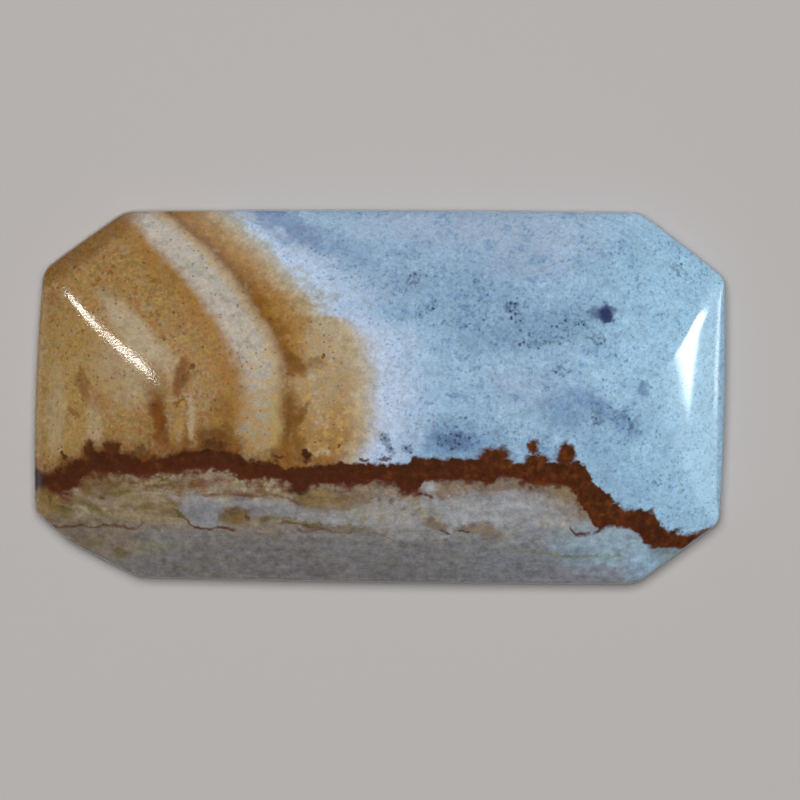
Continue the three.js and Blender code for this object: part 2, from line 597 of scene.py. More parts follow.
class Sheet:
    """A node tree that a finish is written on."""

    def __init__(self, tree: bpy.types.NodeTree) -> None:
        """Clears the tree.

        Args:
            tree: The node tree of a material or a world.
        """
        self.tree = tree
        tree.nodes.clear()

    def node(
        self,
        kind: str,
        settings: dict[str, object] | None = None,
        sockets: dict[str | int, object] | None = None,
    ) -> bpy.types.Node:
        """Adds a node.

        Args:
            kind: The node's type.
            settings: Its settings, set first. "points" fills a curve with pairs of numbers
                from 0 to 1.
            sockets: The value, or what is linked, for each input's name or number.

        Returns:
            The node.
        """
        made = self.tree.nodes.new(kind)
        for name, value in (settings or {}).items():
            if name == "points":
                self.fill_curve(made.mapping, value)
            else:
                setattr(made, name, value)
        for key, value in (sockets or {}).items():
            if isinstance(value, Wire):
                self.tree.links.new(value.socket, made.inputs[key])
            else:
                made.inputs[key].default_value = value
        return made

    @staticmethod
    def fill_curve(mapping: bpy.types.CurveMapping, points: Sequence[tuple[float, float]]) -> None:
        """Sets a curve's points.

        Args:
            mapping: The curve.
            points: Its points, from left to right.
        """
        mapping.extend = "HORIZONTAL"
        curve = mapping.curves[0]
        while len(curve.points) < len(points):
            curve.points.new(1.0, 1.0)
        for point, place in zip(curve.points, points):
            point.location = place
            point.handle_type = "AUTO_CLAMPED"
        mapping.update()

    def math(self, operation: str, *terms: object) -> Value:
        """Adds a Math node over numbers or values."""
        node = self.node("ShaderNodeMath", {"operation": operation}, dict(enumerate(terms)))
        return Value(self, node.outputs[0])

    def vector_math(self, operation: str, *terms: object) -> bpy.types.Node:
        """Adds a Vector Math node over vectors or fields."""
        return self.node("ShaderNodeVectorMath", {"operation": operation}, dict(enumerate(terms)))

    def join(self, x: object, y: object, z: object) -> Field:
        """Joins three values into a field."""
        node = self.node("ShaderNodeCombineXYZ", None, {0: x, 1: y, 2: z})
        return Field(self, node.outputs[0])

    def channels(self, colour: bpy.types.NodeSocket) -> Field:
        """Reads a colour's three channels as a field."""
        node = self.node("ShaderNodeSeparateColor", None, {0: Tint(self, colour)})
        return self.join(*(Value(self, output) for output in node.outputs))

    def paint(self, colour: Pigment | Colour) -> Tint:
        """Starts a tint from one plain colour.

        Args:
            colour: The colour.

        Returns:
            The tint.
        """
        node = self.node("ShaderNodeRGB")
        node.outputs[0].default_value = light_of(colour)
        return Tint(self, node.outputs[0])

    def finish(self, kind: str, shader: bpy.types.Node) -> None:
        """Sends a shader to the tree's output."""
        self.tree.links.new(shader.outputs[0], self.node(kind).inputs[0])


@dataclass(frozen=True, eq=False)
class Wire:
    """What comes out of a node's socket, and the sheet that the node is on."""

    sheet: Sheet
    socket: bpy.types.NodeSocket


class Value(Wire):
    """A number that changes over the surface, with the arithmetic to work on it."""

    def __add__(self, other: Value | float) -> Value:
        """Adds."""
        return self.sheet.math("ADD", self, other)

    __radd__ = __add__

    def __sub__(self, other: Value | float) -> Value:
        """Subtracts."""
        return self.sheet.math("SUBTRACT", self, other)

    def __rsub__(self, other: float) -> Value:
        """Subtracts this from a number."""
        return self.sheet.math("SUBTRACT", other, self)

    def __mul__(self, other: Value | float) -> Value:
        """Multiplies."""
        return self.sheet.math("MULTIPLY", self, other)

    __rmul__ = __mul__

    def __abs__(self) -> Value:
        """The size of the number, without its sign."""
        return self.sheet.math("ABSOLUTE", self)

    def plus(self, other: Value, times: Value | float) -> Value:
        """Adds a multiple of another value."""
        return self.sheet.math("MULTIPLY_ADD", other, times, self)

    def at_least(self, low: Value | float) -> Value:
        """The larger of this and a limit."""
        return self.sheet.math("MAXIMUM", self, low)

    def scaled(self, times: float, offset: float) -> Value:
        """Multiplies this and then adds a number."""
        return self.sheet.math("MULTIPLY_ADD", self, times, offset)

    def mapped(self, start: float, end: float, low: float, high: float) -> Value:
        """Turns a stretch of the numbers into another, smoothly.

        Args:
            start: Where the change begins.
            end: Where it is complete.
            low: The result at the start and on its side.
            high: The result at the end and beyond it.

        Returns:
            The result.
        """
        settings = {"interpolation_type": "SMOOTHSTEP", "clamp": False}
        sockets = {"Value": self, "From Min": start, "From Max": end, "To Min": low, "To Max": high}
        node = self.sheet.node("ShaderNodeMapRange", settings, sockets)
        return Value(self.sheet, node.outputs[0])

    def step(self, low: float, high: float, strength: float = 1.0) -> Value:
        """Draws a mask with one soft edge.

        Args:
            low: Where the mask is 0, which may lie above the other limit.
            high: Where it is whole.
            strength: How much a whole mask is.

        Returns:
            The mask.
        """
        if high < low:
            return self.mapped(high, low, strength, 0.0)
        return self.mapped(low, high, 0.0, strength)

    def between(self, low: float, high: float, soft: float) -> Value:
        """A mask that is 1 between two limits, with soft edges."""
        return self.step(low - soft, low + soft) * self.step(high + soft, high - soft)

    def curve(self, points: Sequence[tuple[float, float]]) -> Value:
        """Reads a smooth curve at this value.

        Args:
            points: Pairs of a place along the curve and its height there, in order.

        Returns:
            The curve's height.
        """
        places = [place for place, _ in points]
        heights = [height for _, height in points]
        start, run = min(places), max(places) - min(places)
        low, rise = min(heights), max(heights) - min(heights)
        shares = [((place - start) / run, (height - low) / rise) for place, height in points]
        share = self.scaled(1 / run, -start / run)
        node = self.sheet.node("ShaderNodeFloatCurve", {"points": shares}, {"Value": share})
        return Value(self.sheet, node.outputs[0]).scaled(rise, low)


@dataclass(frozen=True)
class Clouding:
    """What a cloudy noise is like.

    The size of a cloud is in millimetres, and the detail is how many finer layers it has. The
    seed says where in the noise to start, for clouds of its own. The twist is how far clouds
    are distorted, the stretch how many times as long they are along each axis, the roughness
    how strong the finer layers are, and the gain how far the noise spreads from 0. The seed
    step is how far apart two neighbouring seeds lie, in clouds.
    """

    size: float
    detail: float
    seed: float
    twist: float = 0.0
    stretch: tuple[float, float, float] = (1.0, 1.0, 1.0)
    roughness: float = 0.6
    gain: float = 3.0
    seed_step: tuple[float, float, float] = (7.31, -3.77, 5.19)


@dataclass(frozen=True)
class Scatter:
    """How specks are scattered: how many millimetres apart, and from which seed.

    The seed step is how far apart two neighbouring seeds lie, in spacings.
    """

    spacing: float
    seed: float
    seed_step: tuple[float, float, float] = (11.3, 4.7, -6.1)


class Field(Wire):
    """A vector that changes over the surface, such as a place in the stone."""

    def plus(self, other: Field, times: tuple[float, float, float]) -> Field:
        """Adds another field, scaled along each axis."""
        node = self.sheet.vector_math("MULTIPLY_ADD", other, times, self)
        return Field(self.sheet, node.outputs[0])

    def scaled(
        self, times: tuple[float, float, float], offset: tuple[float, float, float]
    ) -> Field:
        """Scales the field along each axis and then moves it."""
        node = self.sheet.vector_math("MULTIPLY_ADD", self, times, offset)
        return Field(self.sheet, node.outputs[0])

    def weighed(self, x: float, y: float, z: float) -> Value:
        """The sum of the field's three numbers, each with its weight."""
        node = self.sheet.vector_math("DOT_PRODUCT", self, (x, y, z))
        return Value(self.sheet, node.outputs["Value"])

    def parts(self) -> tuple[Value, Value, Value]:
        """Takes the field apart.

        Returns:
            Its three numbers.
        """
        node = self.sheet.node("ShaderNodeSeparateXYZ", None, {0: self})
        x, y, z = (Value(self.sheet, output) for output in node.outputs)
        return x, y, z

    def noise(self, clouding: Clouding) -> Field:
        """Reads three cloudy noises that have nothing to do with each other.

        Args:
            clouding: What they are like.

        Returns:
            The noises, each around 0 and mostly between -1 and 1.
        """
        times = tuple(1 / (clouding.size * share) for share in clouding.stretch)
        offset = tuple(clouding.seed * step for step in clouding.seed_step)
        clouds = self.sheet.node(
            "ShaderNodeTexNoise",
            None,
            {
                "Vector": self.scaled(times, offset),
                "Scale": 1.0,
                "Detail": clouding.detail,
                "Roughness": clouding.roughness,
                "Distortion": clouding.twist,
            },
        )
        gain = clouding.gain
        return self.sheet.channels(clouds.outputs["Color"]).scaled((gain,) * 3, (-gain / 2,) * 3)

    def specks(self, scatter: Scatter) -> Specks:
        """Scatters specks through the stone.

        Args:
            scatter: How they are scattered.

        Returns:
            The specks.
        """
        offset = tuple(scatter.seed * step for step in scatter.seed_step)
        sockets = {"Vector": self.scaled((1 / scatter.spacing,) * 3, offset), "Scale": 1.0}
        node = self.sheet.node("ShaderNodeTexVoronoi", None, sockets)
        own = self.sheet.channels(node.outputs["Color"]).weighed(1.0, 0.0, 0.0)
        return Specks(Value(self.sheet, node.outputs["Distance"]), own)


@dataclass(frozen=True)
class Specks:
    """Scattered specks: how far off the nearest is, in spacings, and its own number to 1.

    A speck is drawn where its own number and the density make more than 1, and at its full
    size where they make what whole says or more. It fades in from its outer edge, which lies
    that far outside its radius, in spacings, to its inner edge.
    """

    far: Value
    own: Value
    whole: float = 1.15
    outer_edge: float = -0.02
    inner_edge: float = 0.2

    def dots(self, density: Value | float, size: float) -> Value:
        """Draws some of the specks.

        Args:
            density: The share of them to draw.
            size: The radius of the largest, in spacings.

        Returns:
            Their mask.
        """
        radius = (self.own + density).mapped(1.0, self.whole, 0.0, size)
        return (radius - self.far).step(self.outer_edge, self.inner_edge)


class Blend(Enum):
    """How one colour is laid over another."""

    MIX = "MIX"
    ADD = "ADD"


class Tint(Wire):
    """A colour that changes over the surface."""

    def mixed(
        self, other: Tint | Pigment | Colour, share: Value | float, blend: Blend = Blend.MIX
    ) -> Tint:
        """Mixes another colour in.

        Args:
            other: The colour to mix in.
            share: How much of it, from 0 to 1.
            blend: How the two are blended.

        Returns:
            The mixture.
        """
        node = self.sheet.node(
            "ShaderNodeMix",
            {"data_type": "RGBA", "blend_type": blend.value, "clamp_factor": True},
            {0: share, 6: self, 7: light_of(other)},
        )
        return Tint(self.sheet, node.outputs[2])

    def shaded(self, share: Value) -> Tint:
        """Makes the colour darker or lighter.

        Args:
            share: How much of its light is kept, with 1 for all and more for a lighter colour.

        Returns:
            The new tint.
        """
        sockets = {0: self, "Scale": share}
        node = self.sheet.node("ShaderNodeVectorMath", {"operation": "SCALE"}, sockets)
        return Tint(self.sheet, node.outputs[0])


# The jasper's picture


class Pigment(Enum):
    """The jasper's colours, as they are seen, from 0 to 255 a channel. One of them is painted window
    light.
    """

    SKY = (150, 184, 212)
    SKY_PALE = (170, 202, 228)
    SKY_DEEP = (112, 146, 180)
    # Painted light, not a colour of the stone: the window light on the right end.
    SKY_PAINTED_WINDOW_LIGHT = (174, 224, 255)
    STORM = (98, 122, 168)
    INK = (40, 50, 92)
    FLECK = (64, 88, 118)
    PEPPER = (92, 120, 150)
    HAZE = (156, 174, 202)
    LILAC = (182, 202, 228)
    MIST = (188, 202, 224)
    OCHRE = (160, 125, 74)
    OCHRE_DEEP = (152, 106, 40)
    OCHRE_BROWN = (112, 74, 26)
    OCHRE_RED = (152, 104, 70)
    BUFF = (168, 145, 106)
    STRAW = (172, 144, 80)
    CREAM = (180, 166, 138)
    SAGE = (160, 162, 134)
    PEACH = (178, 144, 112)
    PALE = (180, 171, 160)
    UMBER = (92, 54, 22)
    SIENNA = (112, 64, 22)
    KHAKI = (136, 112, 66)
    BRONZE = (108, 80, 38)
    SPECK = (84, 60, 40)
    RUST = (74, 37, 15)
    RUST_DARK = (54, 26, 10)
    RUST_BRIGHT = (106, 56, 20)
    RUST_RED = (86, 32, 18)
    PLUM = (44, 27, 32)
    MILK = (142, 128, 106)
    ASH = (142, 139, 134)
    CHALK = (164, 167, 172)
    LENS = (138, 139, 144)
    LAVENDER = (142, 140, 152)
    SEAFOAM = (150, 178, 194)
    TAUPE = (124, 108, 90)
    SLATE = (120, 119, 121)
    OLIVE = (104, 92, 42)
    STEEL = (138, 146, 158)
    MOSS = (124, 124, 92)
    MAUVE = (118, 80, 72)
    PINK = (168, 142, 130)


def light_of(colour: Tint | Pigment | Colour) -> Tint | Colour:
    """The light of a pigment. Any other colour is light already, and stays as it is."""
    return linear(colour.value) if isinstance(colour, Pigment) else colour


@dataclass(frozen=True)
class Patch:
    """An ellipse on the picture as seen from above, whose edge is made ragged.

    The place and the radii are in millimetres, the tilt in degrees, and softness is how much
    of the radius its edge takes.
    """

    x: float
    y: float
    across: float
    up: float
    strength: float = 1.0
    tilt: float = 0.0
    softness: float = 0.8


@dataclass(frozen=True)
class Blot:
    """A patch of one colour."""

    pigment: Pigment
    patch: Patch


@dataclass(frozen=True)
class Vein:
    """A thin line of one colour, through points given from left to right.

    The core is the share of its width that is whole, and it fades in over its ends.
    """

    pigment: Pigment
    width: float
    strength: float
    points: tuple[tuple[float, float], ...]
    core: float = 0.15
    ends: float = 0.12


@dataclass(frozen=True)
class Seam:
    """A line that follows the horizon's foot, at a height over it, with a whole core."""

    height: float
    width: float
    strength: float
    core: float = 0.2


@dataclass(frozen=True)
class Mottle:
    """One colour's cloudy patches, all over a part of the picture.

    They are drawn with a tone, which says which set of noises it reads and how much the
    clouds, the lumps and the crumbs weigh. A patch starts where the tone passes low and is
    whole from high on.
    """

    pigment: Pigment
    tone: tuple[int, float, float, float]
    low: float
    high: float
    strength: float


CLOUDS = Clouding(3.4, 3.0, 1, 0.3)
LUMPS = Clouding(1.15, 3.0, 2)
CRUMBS = Clouding(0.46, 1.7, 3)
GRAINS = Clouding(0.14, 1.0, 4)
DRIPS = Clouding(0.75, 2.0, 5, 0.2, (1.0, 4.0, 1.0))
FOLDS = Clouding(0.95, 3.0, 6, 0.8, (2.4, 1.0, 1.0))
LAYERS = Clouding(0.55, 2.0, 7, 0.6, (5.0, 1.0, 1.0))
FRECKLES = Clouding(0.24, 1.6, 9, 0.4)
LAPPING_MARKS = Clouding(0.12, 2.0, 20, 0.0, (12.0, 1.0, 1.0))
POLISHED_PITS = Clouding(0.14, 1.0, 21)
FINE_SPECKS = Scatter(0.27, 17)
BOLD_SPECKS = Scatter(0.6, 18)

TAN_MOTTLES = (
    Mottle(Pigment.BUFF, (0, 0.5, 0.7, 1.0), -0.2, 0.7, 0.85),
    Mottle(Pigment.OCHRE_BROWN, (1, 0.3, 0.9, 1.4), 0.0, 1.1, 0.9),
    Mottle(Pigment.OCHRE_RED, (2, 0.2, 0.5, 1.5), 0.0, 0.8, 0.75),
    Mottle(Pigment.STRAW, (0, -0.2, -0.9, -1.3), 0.1, 1.0, 0.75),
    Mottle(Pigment.OLIVE, (2, 0.2, -0.9, -1.3), 0.1, 1.1, 0.45),
)
PALE_MOTTLES = (
    Mottle(Pigment.HAZE, (0, 0.0, 0.8, 0.6), 0.1, 0.9, 0.2),
    Mottle(Pigment.SAGE, (2, 0.0, -0.7, -1.2), 0.1, 0.9, 0.6),
    Mottle(Pigment.PEACH, (2, 0.2, 0.7, 1.2), 0.1, 0.9, 0.6),
)
BAND_CORE_MOTTLES = (
    Mottle(Pigment.OCHRE_RED, (2, 0.3, 0.5, 1.2), 0.1, 0.9, 0.4),
    Mottle(Pigment.BUFF, (0, 0.3, 0.6, 1.0), 0.1, 0.9, 0.5),
)
BAND_BUFF_MOTTLES = (
    Mottle(Pigment.PEACH, (2, 0.3, 0.6, 1.1), 0.0, 0.8, 0.8),
    Mottle(Pigment.CREAM, (0, 0.2, 0.6, 1.1), 0.1, 0.9, 0.7),
    Mottle(Pigment.STRAW, (1, 0.2, 0.6, 1.1), 0.2, 0.9, 0.6),
)


HORIZON_TOP = (
    (-20.9, -3.9), (-19.8, -4.5), (-18.9, -4.0), (-17.8, -3.6), (-16.9, -3.2), (-15.7, -3.1),
    (-15.0, -3.4), (-13.8, -3.55), (-12.0, -3.3), (-10.3, -3.1), (-8.7, -3.2), (-8.1, -3.7),
    (-6.4, -3.85), (-5.2, -4.2), (-3.4, -4.05), (-1.8, -3.95), (1.6, -4.0), (2.0, -3.55),
    (5.4, -3.7), (7.6, -3.6), (8.4, -3.95), (9.1, -3.65), (10.3, -3.9), (11.5, -3.85),
    (12.6, -4.75), (13.7, -6.0), (14.3, -6.5), (16.1, -6.85), (16.8, -7.65), (17.8, -8.05),
    (19.4, -8.2),
)
HORIZON_FOOT = (
    (-20.9, -5.45), (-20.0, -5.4), (-19.2, -5.75), (-18.5, -5.65), (-17.7, -4.9),
    (-16.6, -4.55), (-14.7, -4.65), (-12.5, -4.5), (-10.4, -4.3), (-9.1, -4.45), (-7.8, -4.9),
    (-6.4, -4.85), (-5.3, -5.2), (-4.6, -5.55), (-3.9, -5.2), (-1.5, -5.2), (0.2, -4.95),
    (1.4, -5.5), (2.2, -5.6), (2.6, -4.95), (5.4, -4.95), (6.3, -5.15), (7.5, -4.75),
    (9.0, -5.1), (10.8, -5.25), (12.0, -6.5), (12.7, -7.5), (13.1, -7.95), (13.8, -7.7),
    (15.4, -8.2), (16.1, -9.0), (18.0, -9.05), (18.8, -8.5), (19.4, -8.3),
)
TAN_EDGE = (
    (-3.6, -8.3), (-2.5, -8.3), (-1.7, -8.2), (-0.9, -8.1), (-0.2, -8.0), (1.1, -8.15),
    (2.6, -8.65), (3.8, -9.3), (5.2, -10.2), (6.5, -11.15), (7.9, -12.35), (9.1, -13.5),
    (10.3, -14.5), (11.3, -15.2),
)
BAND_START = (
    (-3.6, -6.2), (-2.9, -6.05), (-2.1, -5.85), (1.9, -5.8), (2.8, -6.1), (3.5, -6.35),
    (5.1, -7.35), (6.6, -8.35), (8.2, -9.7), (9.5, -11.1), (10.5, -12.35), (11.3, -13.1),
)
BAND_CORE_END = (
    (-3.6, -5.3), (-2.6, -4.9), (-1.2, -4.6), (-0.2, -5.2), (0.7, -5.5), (1.4, -4.9),
    (2.2, -4.5), (3.4, -4.3), (5.0, -4.1), (5.7, -4.2), (6.6, -5.2), (7.5, -6.0),
    (8.3, -6.5), (9.3, -7.6), (10.0, -8.2), (10.5, -9.1), (11.3, -9.9),
)
BAND_END = (
    (-3.9, -1.2), (-2.9, -0.8), (-2.1, -0.45), (0.4, -0.4), (3.4, -0.95), (4.1, -1.4),
    (4.6, -2.3), (4.9, -3.5), (5.7, -3.9), (6.6, -5.0), (7.5, -5.8), (8.3, -6.4),
    (9.3, -7.5), (10.0, -8.1), (10.5, -8.9), (11.3, -9.7),
)
LILAC_SPREAD = ((-11.3, 0.8), (3.0, 0.8), (6.5, 0.62), (8.2, 0.72), (9.6, 1.3), (11.3, 1.4))

LAND_BLOTS = (
    Blot(Pigment.OCHRE_BROWN, Patch(-17.4, 9.2, 3.6, 0.7, 0.65, 35.6, 1.2)),
    Blot(Pigment.CREAM, Patch(-14.5, 3.9, 2.5, 0.6, 0.75, -46, 1.4)),
    Blot(Pigment.CREAM, Patch(-15.1, 1.6, 1.8, 1.5, 0.4, -40, 1.6)),
    Blot(Pigment.STRAW, Patch(-18.7, 0.2, 1.8, 3.6, 0.35, 0, 1.6)),
    Blot(Pigment.CREAM, Patch(-19.3, -0.6, 0.45, 2.2, 0.35, 0, 1.4)),
    Blot(Pigment.CREAM, Patch(-17.0, -1.6, 0.4, 1.4, 0.45, 8, 1.2)),
    Blot(Pigment.CREAM, Patch(-11.2, -1.4, 0.17, 1.3, 0.7, 0, 1.4)),
    Blot(Pigment.OCHRE_BROWN, Patch(-13.2, -0.4, 0.55, 1.9, 0.5, 6, 1.4)),
    Blot(Pigment.SIENNA, Patch(-13.2, -0.9, 0.36, 0.95, 0.9, 8, 1.4)),
    Blot(Pigment.SIENNA, Patch(-13.05, -2.1, 0.36, 0.8, 0.75, 8, 1.2)),
    Blot(Pigment.SIENNA, Patch(-11.8, 1.25, 0.36, 0.95, 0.8, -10, 1.4)),
    Blot(Pigment.UMBER, Patch(-11.1, 1.76, 0.15, 0.15, 0.8, 0, 0.8)),
    Blot(Pigment.SIENNA, Patch(-17.7, 0.7, 0.3, 0.8, 0.6, 16, 1.4)),
    Blot(Pigment.SIENNA, Patch(-18.25, -0.85, 0.4, 0.14, 0.55, -35)),
    Blot(Pigment.SIENNA, Patch(-10.5, -2.2, 0.3, 0.8, 0.5, 0)),
    Blot(Pigment.OCHRE_BROWN, Patch(-9.4, -1.6, 0.7, 1.2, 0.4, 0, 1.4)),
    Blot(Pigment.UMBER, Patch(-9.7, -2.4, 0.9, 0.5, 0.6, 0, 1.2)),
    Blot(Pigment.OCHRE_RED, Patch(-16.9, -0.2, 0.8, 0.5, 0.4, -30, 1.2)),
    Blot(Pigment.OCHRE_BROWN, Patch(-5.1, 2.15, 0.95, 0.3, 0.85, -48, 1.2)),
    Blot(Pigment.OCHRE_BROWN, Patch(-3.9, 2.05, 0.6, 0.26, 0.55, 8, 1.4)),
    Blot(Pigment.OCHRE_BROWN, Patch(-5.2, -1.2, 0.5, 1.3, 0.65, 4, 1.4)),
    Blot(Pigment.OCHRE_BROWN, Patch(-4.5, -0.75, 0.22, 0.8, 0.7, -28)),
    Blot(Pigment.OCHRE_BROWN, Patch(-4.8, -2.9, 0.35, 0.6, 0.6, 0)),
    Blot(Pigment.UMBER, Patch(-3.4, 2.5, 0.1, 0.1, 0.8, 0, 0.8)),
)
SKY_BLOTS = (
    Blot(Pigment.STORM, Patch(-5.9, 10.3, 2.2, 0.8, 0.65, -30, 1.2)),
    Blot(Pigment.STORM, Patch(-2.9, 8.9, 2.4, 0.8, 0.4, -20, 1.4)),
    # The greyer haze blots near the upper edge are partly the stone's grey wisps and partly painted
    # shade of the steep upper slope.
    Blot(Pigment.HAZE, Patch(8.0, 9.9, 3.4, 1.0, 0.6, 0, 1.6)),
    Blot(Pigment.HAZE, Patch(9.8, 8.3, 3.0, 1.0, 0.6, 8, 1.6)),
    Blot(Pigment.HAZE, Patch(0.6, 6.6, 1.6, 0.9, 0.4, 0, 1.6)),
    Blot(Pigment.HAZE, Patch(2.0, 10.2, 3.0, 0.8, 0.45, 0, 1.6)),
    Blot(Pigment.SKY_DEEP, Patch(2.6, 7.8, 4.6, 1.2, 0.3, -6, 1.6)),
    Blot(Pigment.SKY_DEEP, Patch(6.0, 5.0, 4.4, 1.6, 0.3, -12, 1.6)),
    Blot(Pigment.SKY_DEEP, Patch(9.0, 3.9, 3.6, 0.8, 0.45, 14, 1.6)),
    Blot(Pigment.HAZE, Patch(8.6, 0.4, 1.5, 1.0, 0.4, 0, 1.6)),
    Blot(Pigment.STORM, Patch(12.4, -0.2, 0.9, 0.4, 0.5, -38, 1.6)),
    Blot(Pigment.STORM, Patch(13.5, -0.9, 1.1, 0.42, 0.65, -38, 1.6)),
    Blot(Pigment.STORM, Patch(14.8, -1.7, 0.8, 0.5, 0.75, -30, 1.4)),
    Blot(Pigment.STORM, Patch(12.9, -2.0, 0.4, 1.1, 0.35, 0, 1.4)),
    Blot(Pigment.STORM, Patch(10.9, -0.7, 1.1, 0.85, 0.5, 0, 1.6)),
    Blot(Pigment.STORM, Patch(17.8, -2.5, 0.8, 0.7, 0.35, 0, 1.4)),
    Blot(Pigment.SKY_DEEP, Patch(14.2, -4.4, 2.0, 0.9, 0.45, -30, 1.4)),
    Blot(Pigment.SKY_DEEP, Patch(4.4, -2.6, 2.3, 1.0, 0.6, -6, 1.4)),
    Blot(Pigment.STORM, Patch(4.3, -2.75, 1.3, 0.55, 0.5, 0, 1.2)),
)
INK_SPOTS = (
    Blot(Pigment.STORM, Patch(15.65, 0.5, 0.26, 0.36, 0.7, 0, 1.8)),
    Blot(Pigment.INK, Patch(13.05, 4.95, 0.45, 0.3, 0.7, 0, 1.6)),
    Blot(Pigment.INK, Patch(13.5, 4.98, 0.4, 0.44, 0.95, 0, 1.2)),
)
SPECKLED_SKY = (
    Patch(0.2, 7.6, 3.6, 1.3, 0.5, -6, 1.2),
    Patch(5.6, 5.6, 4.6, 2.0, 0.5, -14, 1.2),
    Patch(10.0, 3.8, 3.6, 1.1, 0.6, 10, 1.2),
    Patch(7.4, 1.6, 2.4, 1.6, 0.36, 0, 1.2),
    Patch(13.6, -1.3, 2.4, 1.3, 0.5, -35, 1.2),
    Patch(5.0, -1.9, 2.6, 0.9, 0.5, 0, 1.2),
    Patch(18.2, 6.9, 1.6, 1.2, 0.4, 0, 1.2),
    Patch(-3.2, 9.0, 2.6, 1.0, 0.5, -20, 1.2),
)
SPECK_CLUSTERS = (
    Patch(0.45, -2.75, 0.85, 0.26, 1.0, -55, 0.8),
    Patch(1.6, -3.1, 0.3, 0.26, 0.9, 0, 1.0),
    Patch(4.5, -2.65, 1.1, 0.5, 0.75, 0, 1.0),
    Patch(7.9, 5.35, 0.4, 0.3, 0.8, 0, 1.4),
    Patch(8.1, 4.7, 0.34, 0.3, 0.6, 0, 1.6),
    Patch(1.95, 7.0, 0.34, 0.44, 0.65, 0, 1.6),
    Patch(2.9, 5.3, 0.4, 0.3, 0.55, 0, 1.6),
    Patch(11.4, 4.3, 0.6, 0.3, 0.6, 0, 1.6),
    Patch(13.0, 3.4, 0.36, 0.36, 0.65, 0, 1.6),
    Patch(10.7, 1.7, 0.5, 0.36, 0.55, 0, 1.6),
    Patch(12.95, -1.3, 0.36, 0.4, 0.7, 0, 1.6),
    Patch(14.6, -1.5, 1.0, 0.4, 0.65, -36, 1.6),
    Patch(9.3, 3.2, 1.5, 0.26, 0.6, 8, 1.8),
    Patch(17.8, 7.7, 0.4, 0.4, 0.55, 0, 1.6),
)
HORIZON_TUFTS = (
    Patch(-18.8, -3.55, 0.3, 0.2, 0.9, -45, 0.9),
    Patch(-17.3, -3.15, 0.3, 0.5, 0.9, 0, 0.9),
    Patch(-15.85, -3.05, 0.5, 0.5, 0.95, 0, 0.9),
    Patch(-14.1, -3.2, 0.35, 0.45, 0.6, 0, 1.2),
    Patch(-9.8, -2.95, 0.7, 0.3, 0.7, 0, 1.2),
    Patch(-6.1, -3.6, 0.3, 0.12, 0.8, 0, 0.9),
    Patch(-4.35, -3.5, 0.34, 0.38, 1.0, 0, 0.8),
    Patch(-2.5, -2.75, 0.1, 0.08, 0.8, 0, 0.6),
    Patch(-0.8, -3.72, 0.3, 0.12, 0.85, 0, 0.8),
    Patch(0.35, -3.65, 0.3, 0.14, 0.85, 20, 0.8),
    Patch(6.75, -3.5, 1.0, 0.55, 1.0, 4, 0.7),
    Patch(9.1, -2.95, 0.34, 0.44, 1.0, 0, 0.8),
    Patch(9.4, -3.75, 0.75, 0.4, 1.0, 0, 0.7),
    Patch(11.05, -3.45, 0.62, 0.72, 1.0, -25, 0.6),
    Patch(16.1, -6.95, 0.34, 0.28, 0.9, 0, 1.0),
)
